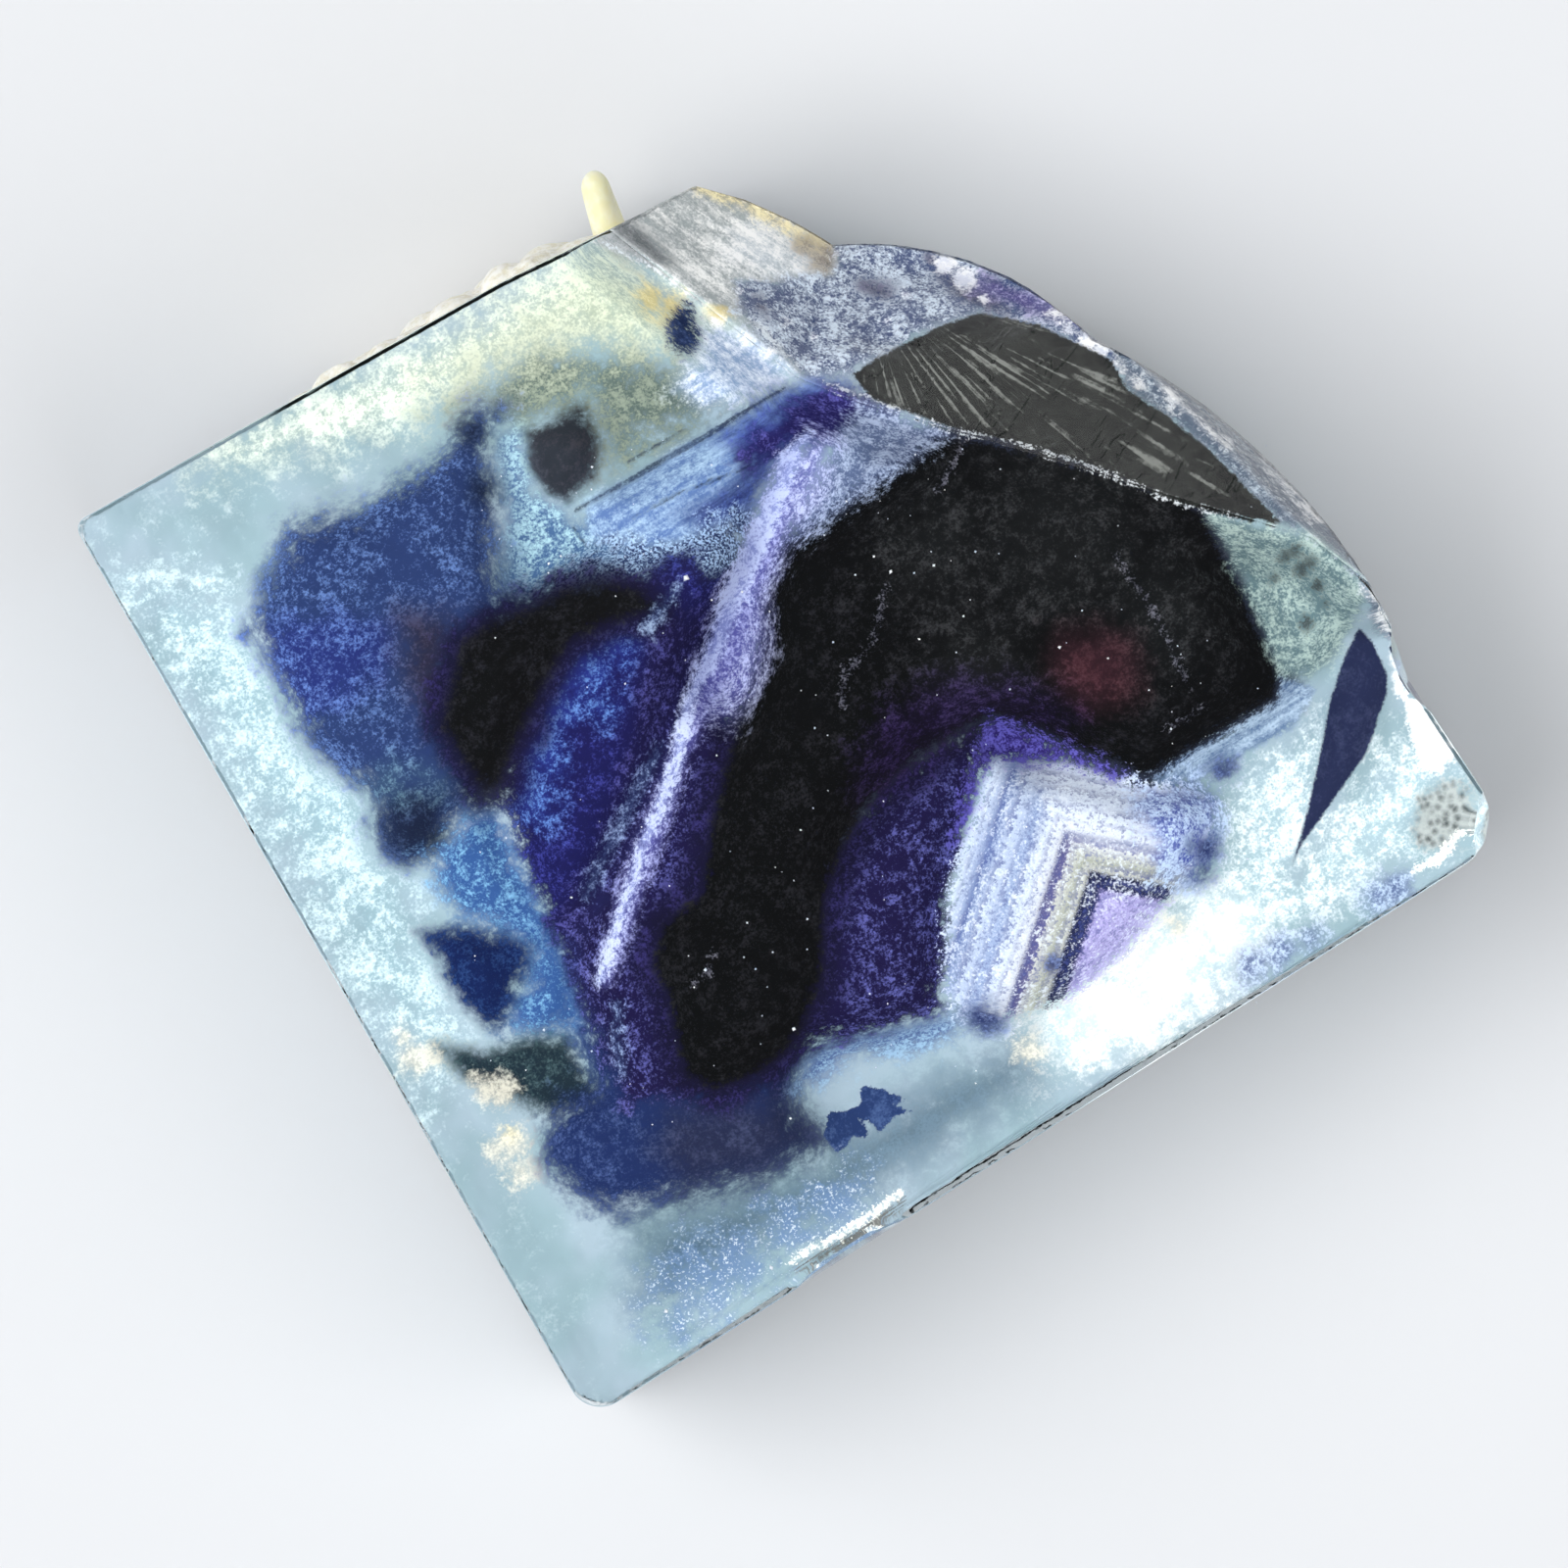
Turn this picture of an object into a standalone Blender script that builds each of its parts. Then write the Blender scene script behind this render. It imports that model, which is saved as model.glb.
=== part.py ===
"""A cube-shaped fluorite crystal with one corner broken off, and the pale crust grown on one side.

The crystal lies on its flat back face. Its front face looks up, +X runs along the lower edge
of the front face and +Y along the left edge. The origin is the centre of the base square.
Metres, +Z up.
"""
import math

import bmesh
import bpy
from mathutils import Matrix, Vector

MM = 0.001

# Driving dimensions
SIDE_X = 33.4 * MM
SIDE_Y = 31.6 * MM
HEIGHT = 16.0 * MM
EDGE_WEAR = 0.14 * MM
GAP = 0.3 * MM

# Plan of the crystal: half sides and the radius of each worn corner
HALF_X = SIDE_X / 2
HALF_Y = SIDE_Y / 2
BOTTOM_RADIUS = 1.0 * MM
RIGHT_RADIUS = 1.7 * MM
LEFT_RADIUS = 0.4 * MM
PEAK = (5.7 * MM, HALF_Y - 0.75 * MM)
NOTCH = (8.4 * MM, 11.3 * MM)
WAIST = (13.8 * MM, 4.6 * MM)
SHOULDER = (17.0 * MM, -7.5 * MM)

# The recess in the upper-left side, and the crust that fills it
RECESS_X = (-9.6 * MM, 4.6 * MM)
RECESS_DEPTH = 1.5 * MM
RECESS_HEIGHT = 9.4 * MM
CRUST_LIFT = 0.2 * MM
CRUST_RIM = 1.1 * MM
CRUST_RIM_THICKNESS = 0.45 * MM
SPIKE_ROOT = (2.5 * MM, HALF_Y - 1.4 * MM, 5.8 * MM)
SPIKE_TIP = (3.2 * MM, HALF_Y + 1.35 * MM, 6.6 * MM)
SPIKE_RADIUS = 0.6 * MM
SPIKE_TIP_RADIUS = 0.42 * MM

# How far a cutter runs past the surface that it cuts
OVERRUN = 3.0 * MM


def clear_scene():
    """Remove every object, so that the script can be run twice."""
    for item in list(bpy.data.objects):
        bpy.data.objects.remove(item, do_unlink=True)


def make_collection(name):
    group = bpy.data.collections.new(name)
    bpy.context.scene.collection.children.link(group)
    return group


def make_material(name, colour, roughness, transmission=0.0, ior=1.45):
    material = bpy.data.materials.new(name)
    material.use_nodes = True
    shader = material.node_tree.nodes["Principled BSDF"]
    shader.inputs["Base Color"].default_value = (*colour, 1.0)
    shader.inputs["Roughness"].default_value = roughness
    shader.inputs["Metallic"].default_value = 0.0
    shader.inputs["Transmission Weight"].default_value = transmission
    shader.inputs["IOR"].default_value = ior
    material.diffuse_color = (*colour, 1.0)
    return material


def object_from_bmesh(name, mesh_builder, group):
    bmesh.ops.recalc_face_normals(mesh_builder, faces=mesh_builder.faces)
    mesh = bpy.data.meshes.new(name)
    mesh_builder.to_mesh(mesh)
    mesh_builder.free()
    item = bpy.data.objects.new(name, mesh)
    group.objects.link(item)
    return item


def hide_cutter(item):
    item.display_type = "WIRE"
    item.hide_render = True
    return item


# The plan outline

def fillet(before, corner, after, radius, steps=6):
    """Points of the arc that rounds a corner between two straight edges."""
    corner = Vector(corner)
    to_before = (Vector(before) - corner).normalized()
    to_after = (Vector(after) - corner).normalized()
    half_angle = to_before.angle(to_after) / 2
    centre = corner + (to_before + to_after).normalized() * (radius / math.sin(half_angle))
    start = (corner + to_before * (radius / math.tan(half_angle)) - centre).normalized()
    end = (corner + to_after * (radius / math.tan(half_angle)) - centre).normalized()
    return [centre + start.slerp(end, i / steps) * radius for i in range(steps + 1)]


def scallop(start, end, bulge, steps):
    """Points of a shallow arc from start to end, bulging to the right of the way along it."""
    start = Vector(start)
    end = Vector(end)
    along = end - start
    side = Vector((along.y, -along.x)).normalized()
    return [
        start + along * t + side * (4 * bulge * t * (1 - t))
        for t in (i / steps for i in range(1, steps))
    ]


def crystal_outline():
    """The plan of the crystal, counter-clockwise from the bottom corner."""
    bottom = (-HALF_X + 0.1 * MM, -HALF_Y)
    right = (HALF_X + 0.15 * MM, -HALF_Y + 0.8 * MM)
    right_edge_dip = (HALF_X - 0.1 * MM, SHOULDER[1] - 1.8 * MM)
    left = (-HALF_X + 0.7 * MM, HALF_Y + 0.05 * MM)
    sag = (-1.0 * MM, HALF_Y - 0.35 * MM)
    points = fillet(left, bottom, right, BOTTOM_RADIUS)
    points += fillet(bottom, right, right_edge_dip, RIGHT_RADIUS, steps=8)
    points += [Vector(right_edge_dip), Vector(SHOULDER)]
    points += scallop(SHOULDER, WAIST, 1.1 * MM, 8)
    points += [Vector(WAIST)]
    points += scallop(WAIST, NOTCH, 1.0 * MM, 7)
    points += [Vector(NOTCH)]
    points += scallop(NOTCH, PEAK, 0.2 * MM, 3)
    points += [Vector(PEAK), Vector(sag)]
    points += fillet(sag, left, bottom, LEFT_RADIUS, steps=4)
    return points


def extruded_outline(name, points, height, group):
    """A prism over a flat outline, standing on z = 0, as a closed mesh."""
    curve = bpy.data.curves.new(name + "_outline", "CURVE")
    curve.dimensions = "2D"
    curve.fill_mode = "BOTH"
    curve.extrude = height / 2
    spline = curve.splines.new("POLY")
    spline.points.add(len(points) - 1)
    for target, point in zip(spline.points, points):
        target.co = (point.x, point.y, 0.0, 1.0)
    spline.use_cyclic_u = True
    outline = bpy.data.objects.new(name + "_outline", curve)
    outline.location.z = height / 2
    group.objects.link(outline)
    depsgraph = bpy.context.evaluated_depsgraph_get()
    depsgraph.update()
    mesh = bpy.data.meshes.new_from_object(outline.evaluated_get(depsgraph))
    mesh.transform(outline.matrix_world)
    builder = bmesh.new()
    builder.from_mesh(mesh)
    bmesh.ops.remove_doubles(builder, verts=builder.verts, dist=0.01 * MM)
    bmesh.ops.dissolve_limit(
        builder, angle_limit=math.radians(0.5), verts=builder.verts, edges=builder.edges
    )
    bpy.data.objects.remove(outline, do_unlink=True)
    return object_from_bmesh(name, builder, group)


# Cutters of the broken side

def frame_matrix(origin, along, dip):
    """Axes of a sloping fracture: x along its top edge, z out of the crystal."""
    strike = Vector((along[0], along[1], 0.0)).normalized()
    outward = Vector((-strike.y, strike.x, 0.0))
    down = (outward * math.cos(dip) - Vector((0.0, 0.0, 1.0)) * math.sin(dip)).normalized()
    normal = strike.cross(down)
    matrix = Matrix((strike, down, normal)).transposed().to_4x4()
    matrix.translation = Vector(origin)
    return matrix


def shell_height(u, v, dish, ripple, wave, source):
    """Height of a shell-like break: a shallow dish with rings about the point it started from."""
    distance = math.hypot(u - source[0], v - source[1])
    return -dish * math.cos(min(distance / (12.0 * MM), 1.0) * math.pi / 2) + ripple * math.sin(
        2 * math.pi * distance / wave
    )


def fracture_cutter(name, group, top_edge, dip, ends, skews, depth, dish, ripple, wave, source):
    """A thick block whose underside is a rippled break that slopes down from top_edge.

    top_edge is a point of the break's upper edge and the plan direction of that edge.
    ends are the block's two ends along the edge, and skews how far each end shifts along
    the edge for every metre down the slope.
    """
    origin, along = top_edge
    builder = bmesh.new()
    bmesh.ops.create_grid(builder, x_segments=14, y_segments=10, size=0.5)
    rim = 2.0 * MM
    for vert in builder.verts:
        share = vert.co.x + 0.5
        v = -rim + (vert.co.y + 0.5) * (depth + rim)
        u = (ends[0] + skews[0] * v) * (1 - share) + (ends[1] + skews[1] * v) * share
        fade = min(max(v / rim, 0.0), 1.0)
        vert.co = Vector((u, v, fade * shell_height(u, v, dish, ripple, wave, source)))
    lifted = bmesh.ops.extrude_face_region(builder, geom=builder.faces[:])["geom"]
    raised = [item for item in lifted if isinstance(item, bmesh.types.BMVert)]
    bmesh.ops.translate(builder, verts=raised, vec=(0.0, 0.0, 14.0 * MM))
    builder.transform(frame_matrix(origin, along, dip))
    return hide_cutter(object_from_bmesh(name, builder, group))


def ball_cutter(name, group, centre, size, subdivisions=3, turn=0.0):
    builder = bmesh.new()
    bmesh.ops.create_icosphere(builder, subdivisions=subdivisions, radius=1.0)
    placed = Matrix.Translation(centre) @ Matrix.Rotation(turn, 4, "Z")
    builder.transform(placed @ Matrix.Diagonal((*size, 1.0)))
    return hide_cutter(object_from_bmesh(name, builder, group))


def block(name, group, low, high, bevel=0.0):
    """A box between two corners with its edges bevelled."""
    low = Vector(low)
    high = Vector(high)
    builder = bmesh.new()
    bmesh.ops.create_cube(builder, size=1.0)
    builder.transform(Matrix.Translation((low + high) / 2) @ Matrix.Diagonal((*(high - low), 1.0)))
    if bevel > 0.0:
        bmesh.ops.bevel(
            builder, geom=builder.edges[:], offset=bevel, segments=2, profile=0.6, affect="EDGES"
        )
    return object_from_bmesh(name, builder, group)


def subtract(target, cutter):
    cut = target.modifiers.new("cut_" + cutter.name, "BOOLEAN")
    cut.operation = "DIFFERENCE"
    cut.solver = "EXACT"
    cut.object = cutter


def broken_side_cutters(group):
    """The sloping breaks that took off the upper-right corner, from the peak round to the right."""
    return [
        fracture_cutter(
            "striped_slope", group, ((2.7 * MM, 15.0 * MM, HEIGHT), (2.6, -6.6)),
            math.radians(52), ends=(-6.0 * MM, 7.15 * MM), skews=(0.0, -0.243), depth=14.0 * MM,
            dish=0.15 * MM, ripple=0.03 * MM, wave=2.3 * MM, source=(8.0 * MM, 0.0),
        ),
        fracture_cutter(
            "violet_scoop", group, ((5.4 * MM, 8.3 * MM, HEIGHT), (3.8, -2.8)),
            math.radians(50.4), ends=(-0.1 * MM, 16.0 * MM), skews=(0.119, 0.0), depth=15.0 * MM,
            dish=0.35 * MM, ripple=0.09 * MM, wave=2.9 * MM, source=(4.0 * MM, 3.5 * MM),
        ),
        fracture_cutter(
            "dark_facet", group, ((6.4 * MM, 6.8 * MM, HEIGHT), (9.3, -10.2)),
            math.radians(38), ends=(-1.9 * MM, 17.0 * MM), skews=(0.0, 0.0), depth=12.0 * MM,
            dish=0.1 * MM, ripple=0.02 * MM, wave=2.6 * MM, source=(2.0 * MM, 4.0 * MM),
        ),
        fracture_cutter(
            "right_wall", group, ((14.2 * MM, 3.7 * MM, HEIGHT - 2.4 * MM), (0.354, -0.935)),
            math.radians(71.7), ends=(-6.0 * MM, 16.0 * MM), skews=(0.0, 0.0), depth=14.0 * MM,
            dish=0.25 * MM, ripple=0.06 * MM, wave=3.1 * MM, source=(6.0 * MM, 3.0 * MM),
        ),
    ]


def lower_wall_cutters(group):
    """Shell-shaped breaks in the lower part of the broken side, and chips along the edges."""
    return [
        ball_cutter("scoop_north", group, (16.5 * MM, 15.3 * MM, 1.0 * MM),
                    (9.4 * MM, 7.9 * MM, 7.4 * MM), turn=0.5),
        ball_cutter("scoop_east", group, (21.3 * MM, 0.6 * MM, 1.6 * MM),
                    (6.4 * MM, 10.0 * MM, 7.6 * MM), turn=0.25),
        ball_cutter("chip_right_edge", group, (18.1 * MM, -9.3 * MM, HEIGHT),
                    (1.7 * MM, 2.2 * MM, 2.6 * MM), subdivisions=2),
        ball_cutter("chip_right_corner", group, (18.0 * MM, -15.4 * MM, HEIGHT + 0.6 * MM),
                    (2.7 * MM, 2.4 * MM, 2.2 * MM), subdivisions=2, turn=0.6),
        ball_cutter("chip_lower_edge", group, (-6.9 * MM, -HALF_Y - 0.25 * MM, HEIGHT + 0.2 * MM),
                    (2.9 * MM, 0.8 * MM, 0.6 * MM), subdivisions=2),
        ball_cutter("chip_bottom_face", group, (-HALF_X, 3.0 * MM, -0.3 * MM),
                    (0.8 * MM, 2.6 * MM, 0.9 * MM), subdivisions=2),
    ]


def recess_cutter(group):
    """The hollow in the upper-left side that the crust grew in."""
    low = (RECESS_X[0], HALF_Y - RECESS_DEPTH - 0.3 * MM, -OVERRUN)
    high = (RECESS_X[1], HALF_Y + OVERRUN, RECESS_HEIGHT)
    return hide_cutter(block("crust_recess", group, low, high, bevel=0.9 * MM))


def build_crystal(parts, cutters):
    crystal = extruded_outline("fluorite_crystal", crystal_outline(), HEIGHT, parts)
    crystal.data.materials.append(
        make_material("fluorite", (0.45, 0.55, 0.75), 0.08, transmission=0.9, ior=1.434)
    )
    wear = crystal.modifiers.new("worn_edges", "BEVEL")
    wear.width = EDGE_WEAR
    wear.segments = 1
    wear.limit_method = "ANGLE"
    wear.angle_limit = math.radians(60)
    for cutter in broken_side_cutters(cutters) + lower_wall_cutters(cutters):
        subtract(crystal, cutter)
    subtract(crystal, recess_cutter(cutters))
    return crystal


# The crust

def lump_places():
    """Plan centres, radii and reaches of the lumps, in uneven rows that swell towards the spike."""
    left = RECESS_X[0] + 1.2 * MM
    right = RECESS_X[1] - 1.4 * MM
    rows = 5
    columns = 9
    places = []
    for row in range(rows):
        for column in range(columns):
            share = column / (columns - 1)
            sway = math.sin(2.7 * row + 1.9 * column)
            x = left + (right - left) * share + 0.35 * MM * sway
            z = 1.4 * MM + row * 1.55 * MM + 0.3 * MM * math.cos(1.3 * column + row)
            radius = (0.95 + 0.3 * share + 0.15 * math.sin(4.1 * column + 2.3 * row)) * MM
            reach = (0.1 + 0.38 * share + 0.16 * math.sin(1.7 * column + 3.1 * row)) * MM
            places.append((x, z, radius, reach))
    return places


def crust_front(x, z, lumps, low, high):
    """How far out the crust reaches: the highest lump over a point, thinned towards its rim."""
    ground = HALF_Y - 0.7 * MM
    reach = ground
    for lump_x, lump_z, radius, lump_reach in lumps:
        distance = math.hypot(x - lump_x, z - lump_z)
        if distance < radius:
            crown = math.sqrt(1.0 - (distance / radius) ** 2)
            reach = max(reach, ground + (HALF_Y + lump_reach - ground) * crown)
    rim = min(x - low.x, high.x - x, z - low.z, high.z - z)
    share = min(rim / CRUST_RIM, 1.0)
    fade = share * share * (3.0 - 2.0 * share)
    return low.y + CRUST_RIM_THICKNESS + (reach - low.y - CRUST_RIM_THICKNESS) * fade


def build_crust(parts, cutters):
    """A lumpy plate in the recess, with one blunt spike grown together with it."""
    low = Vector((RECESS_X[0] + GAP, HALF_Y - RECESS_DEPTH, CRUST_LIFT))
    high = Vector((RECESS_X[1] - GAP, HALF_Y, RECESS_HEIGHT - GAP - 0.1 * MM))
    lumps = lump_places()
    builder = bmesh.new()
    bmesh.ops.create_grid(builder, x_segments=40, y_segments=25, size=0.5)
    for vert in builder.verts:
        x = low.x + (vert.co.x + 0.5) * (high.x - low.x)
        z = low.z + (vert.co.y + 0.5) * (high.z - low.z)
        vert.co = Vector((x, crust_front(x, z, lumps, low, high), z))
    back = bmesh.ops.extrude_face_region(builder, geom=builder.faces[:])["geom"]
    for item in back:
        if isinstance(item, bmesh.types.BMVert):
            item.co.y = low.y
    crust = object_from_bmesh("calcite_crust", builder, parts)
    crust.data.materials.append(make_material("crust", (0.85, 0.83, 0.72), 0.75))
    grown = crust.modifiers.new("spike_grown_together", "BOOLEAN")
    grown.operation = "UNION"
    grown.solver = "EXACT"
    grown.object = spike(cutters)
    return crust


def spike(group):
    """A blunt tooth: a tapered shaft with a rounded end, leaning out over the crust."""
    root = Vector(SPIKE_ROOT)
    tip = Vector(SPIKE_TIP)
    axis = tip - root
    rings = 8
    builder = bmesh.new()
    bmesh.ops.create_uvsphere(builder, u_segments=12, v_segments=2 * rings, radius=1.0)
    half = axis.length / 2
    for vert in builder.verts:
        share = (vert.co.z + 1.0) / 2
        radius = SPIKE_RADIUS + (SPIKE_TIP_RADIUS - SPIKE_RADIUS) * share
        blunt = math.hypot(vert.co.x, vert.co.y)
        widen = radius * blunt ** 0.45 / max(blunt, 1e-6)
        vert.co = Vector((vert.co.x * widen, vert.co.y * widen, vert.co.z * half))
    turn = axis.to_track_quat("Z", "Y").to_matrix().to_4x4()
    builder.transform(Matrix.Translation((root + tip) / 2) @ turn)
    return hide_cutter(object_from_bmesh("spike_cutter", builder, group))


def main():
    clear_scene()
    parts = make_collection("fluorite_specimen")
    cutters = make_collection("cutters")
    build_crystal(parts, cutters)
    build_crust(parts, cutters)


main()
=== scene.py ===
"""The looks of a cube-shaped fluorite crystal with a broken corner, a dark zoned heart and a crust.

The crystal lies on its back face and the camera looks straight down on the front face, turned
as in the photograph. The clear crystal is one glass body. Inside it stands the heart: a low
relief that carries the colour zones, from the pale rim to the black core. Lengths are metres,
and plan coordinates are the solids' own X and Y.
"""
from __future__ import annotations

import logging
import math
from dataclasses import dataclass
from enum import Enum
from typing import Callable, Sequence

import bmesh
import bpy
import numpy as np
from mathutils import Matrix, Vector


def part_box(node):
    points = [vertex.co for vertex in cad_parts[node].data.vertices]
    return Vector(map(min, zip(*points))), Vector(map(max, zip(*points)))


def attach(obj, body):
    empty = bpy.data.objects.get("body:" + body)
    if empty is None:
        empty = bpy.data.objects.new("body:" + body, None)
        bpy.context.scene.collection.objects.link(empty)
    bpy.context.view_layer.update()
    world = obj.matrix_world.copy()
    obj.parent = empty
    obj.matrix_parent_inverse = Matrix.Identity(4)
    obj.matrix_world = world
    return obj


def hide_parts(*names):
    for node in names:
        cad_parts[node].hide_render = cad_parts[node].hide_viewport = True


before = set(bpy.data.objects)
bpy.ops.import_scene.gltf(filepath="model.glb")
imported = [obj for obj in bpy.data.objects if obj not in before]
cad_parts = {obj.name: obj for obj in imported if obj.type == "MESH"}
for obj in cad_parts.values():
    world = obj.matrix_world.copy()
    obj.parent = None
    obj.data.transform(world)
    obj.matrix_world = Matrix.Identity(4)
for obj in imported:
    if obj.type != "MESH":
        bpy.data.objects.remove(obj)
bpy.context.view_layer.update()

LOG = logging.getLogger("fluorite")
MM = 0.001
Array = np.ndarray
Colour = tuple[float, float, float]
Tone = tuple[int, int, int]
Point = tuple[float, float]


# Numbers and noise


def smooth_step(low: float, high: float, value: Array) -> Array:
    """Ease from 0 to 1 as value goes from low to high: 3t^2 - 2t^3.

    Args:
        low: where the step starts.
        high: where the step ends.
        value: what is stepped.

    Returns:
        The eased share, from 0 to 1.
    """
    share = np.clip((value - low) / (high - low), 0.0, 1.0)
    return share * share * (3.0 - 2.0 * share)


def lattice_values(cells: Array, seed: int) -> Array:
    """A repeatable random number from 0 to 1 for each whole-numbered cell, by bit mixing."""
    mixed = cells[..., 0] * 73856093 ^ cells[..., 1] * 19349663 ^ cells[..., 2] * 83492791
    mixed = (mixed ^ (seed * 2654435761)) & 0xFFFFFFFF
    mixed = (mixed ^ (mixed >> 15)) * 2246822519 & 0xFFFFFFFF
    mixed = (mixed ^ (mixed >> 13)) * 3266489917 & 0xFFFFFFFF
    return ((mixed ^ (mixed >> 16)) & 0xFFFF) / 65535.0


def cloud(points: Array, size: float, seed: int, octaves: int = 3) -> Array:
    """Soft noise about zero: random values at the cells of a grid, blended smoothly between them.

    Each octave halves the cell and the weight.

    Args:
        points: positions, shape (n, 3).
        size: the width of the largest cell.
        seed: which noise.
        octaves: how many cell sizes are added.

    Returns:
        One number a point, from about -1 to 1.
    """
    total = np.zeros(len(points))
    weight = 1.0
    for octave in range(octaves):
        scaled = points / (size / 2**octave) + 17.3 * octave
        base = np.floor(scaled).astype(np.int64)
        share = scaled - base
        share = share * share * (3.0 - 2.0 * share)
        value = np.zeros(len(points))
        for corner in range(8):
            offset = np.array([corner & 1, corner >> 1 & 1, corner >> 2 & 1])
            near = np.where(offset == 1, share, 1.0 - share).prod(axis=1)
            value += near * lattice_values(base + offset, seed + octave)
        total += weight * (2.0 * value - 1.0)
        weight *= 0.5
    return total / (2.0 - weight * 2.0)


def signed_distance(points: Array, polygon: Array) -> Array:
    """Distance to a closed outline, positive inside it.

    The distance is the least one to any edge; a point is inside when a ray from it crosses
    the outline an odd number of times.

    Args:
        points: plan points, shape (n, 2).
        polygon: the outline's corners, shape (m, 2).

    Returns:
        One signed distance a point.
    """
    least = np.full(len(points), np.inf)
    inside = np.zeros(len(points), bool)
    for start, end in zip(polygon, np.roll(polygon, -1, axis=0)):
        along = end - start
        to_point = points - start
        share = np.clip(to_point @ along / max(along @ along, 1e-18), 0.0, 1.0)
        least = np.minimum(least, np.linalg.norm(to_point - share[:, None] * along, axis=1))
        spans = (start[1] > points[:, 1]) != (end[1] > points[:, 1])
        rise = along[1] if abs(along[1]) > 1e-12 else 1e-12
        crossing = start[0] + (points[:, 1] - start[1]) * along[0] / rise
        inside ^= spans & (points[:, 0] < crossing)
    return np.where(inside, least, -least)


def path_distance(points: Array, path: Array) -> tuple[Array, Array]:
    """Distance to an open path, and how far along it the nearest point lies, from 0 to 1."""
    steps = np.linalg.norm(np.diff(path, axis=0), axis=1)
    total = steps.sum()
    least = np.full(len(points), np.inf)
    station = np.zeros(len(points))
    walked = 0.0
    for start, end, step in zip(path[:-1], path[1:], steps):
        along = end - start
        to_point = points - start
        share = np.clip(to_point @ along / (step * step), 0.0, 1.0)
        distance = np.linalg.norm(to_point - share[:, None] * along, axis=1)
        closer = distance < least
        station = np.where(closer, (walked + share * step) / total, station)
        least = np.minimum(least, distance)
        walked += step
    return least, station


# The photograph's frame


@dataclass(frozen=True)
class Picture:
    """How the photograph lies on the front face.

    The picture is turned on the face, and one of its pixels is a fixed length there.
    """

    pixel: float = 0.03 * MM
    turn: float = math.radians(31.0)
    corner: Point = (601.0, 1449.0)
    corner_plan: Point = (-16.6 * MM, -15.8 * MM)
    width: int = 1600

    def plan(self, *pixels: Point) -> Array:
        """Plan points of picture points, given with y down.

        Args:
            pixels: picture points.

        Returns:
            The plan points, shape (n, 2).
        """
        offset = np.array(pixels, float) - self.corner
        cosine, sine = math.cos(self.turn), math.sin(self.turn)
        x = offset[:, 0] * cosine - offset[:, 1] * sine
        y = -offset[:, 0] * sine - offset[:, 1] * cosine
        return np.stack([x, y], axis=1) * self.pixel + self.corner_plan

    def up(self) -> Vector:
        """The plan direction that is up in the picture."""
        return Vector((math.sin(self.turn), math.cos(self.turn), 0.0))


PICTURE = Picture()


# The crystal's shape


@dataclass(frozen=True)
class Slope:
    """One sloping break: a plane through an edge, dished and rippled like the inside of a shell."""

    edge_point: tuple[float, float, float]
    strike: Point
    dip: float
    dish: float
    ripple: float
    wave: float
    source: Point
    rough: float
    rim: float = 2.0 * MM

    def height(self, plan: Array) -> Array:
        """Height of the break over plan points.

        The plane falls by the tangent of the dip outwards from the edge. The dish is a cosine
        of the distance from the source, the ripple a sine of it, and both fade in below the edge.

        Args:
            plan: plan points, shape (n, 2).

        Returns:
            One height a point.
        """
        strike = np.array(self.strike) / math.hypot(*self.strike)
        outward = np.array([-strike[1], strike[0]])
        offset = plan - self.edge_point[:2]
        u = offset @ strike
        v = (offset @ outward) / math.cos(self.dip)
        distance = np.hypot(u - self.source[0], v - self.source[1])
        shell = -self.dish * np.cos(np.minimum(distance / (12.0 * MM), 1.0) * math.pi / 2)
        rings = self.ripple * np.sin(2 * math.pi * distance / self.wave)
        around = np.stack([plan[:, 0], plan[:, 1], v], axis=1)
        grit = self.rough * cloud(around, 1.1 * MM, 5, octaves=4)
        fade = np.clip(v / self.rim, 0.0, 1.0)
        drop = (offset @ outward) * math.tan(self.dip)
        detail = fade * (shell + rings) + np.clip(v / (0.3 * MM), 0.0, 1.0) * grit
        return self.edge_point[2] - drop + detail / math.cos(self.dip)


@dataclass(frozen=True)
class Ball:
    """A rounded hollow: an ellipsoid that material is missing from."""

    centre: tuple[float, float, float]
    radii: tuple[float, float, float]
    turn: float = 0.0

    def carve(self, points: Array, middle: Array) -> Array:
        """Pull the points inside the ellipsoid towards the crystal's middle until they leave it.

        In the ellipsoid's own space it is a unit ball, so the way out along a ray is the larger
        root of a quadratic.

        Args:
            points: positions, shape (n, 3).
            middle: the point that they are pulled to.

        Returns:
            The moved positions.
        """
        cosine, sine = math.cos(self.turn), math.sin(self.turn)
        turn_back = np.array([[cosine, sine, 0.0], [-sine, cosine, 0.0], [0.0, 0.0, 1.0]])
        local = (points - self.centre) @ turn_back.T / self.radii
        way = (middle - points) @ turn_back.T / self.radii
        a = (way * way).sum(axis=1)
        b = (local * way).sum(axis=1)
        c = (local * local).sum(axis=1) - 1.0
        inside = c < 0.0
        root = np.sqrt(np.maximum(b * b - a * c, 0.0))
        share = np.where(inside, (-b + root) / a, 0.0)
        return points + (middle - points) * share[:, None]


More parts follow.
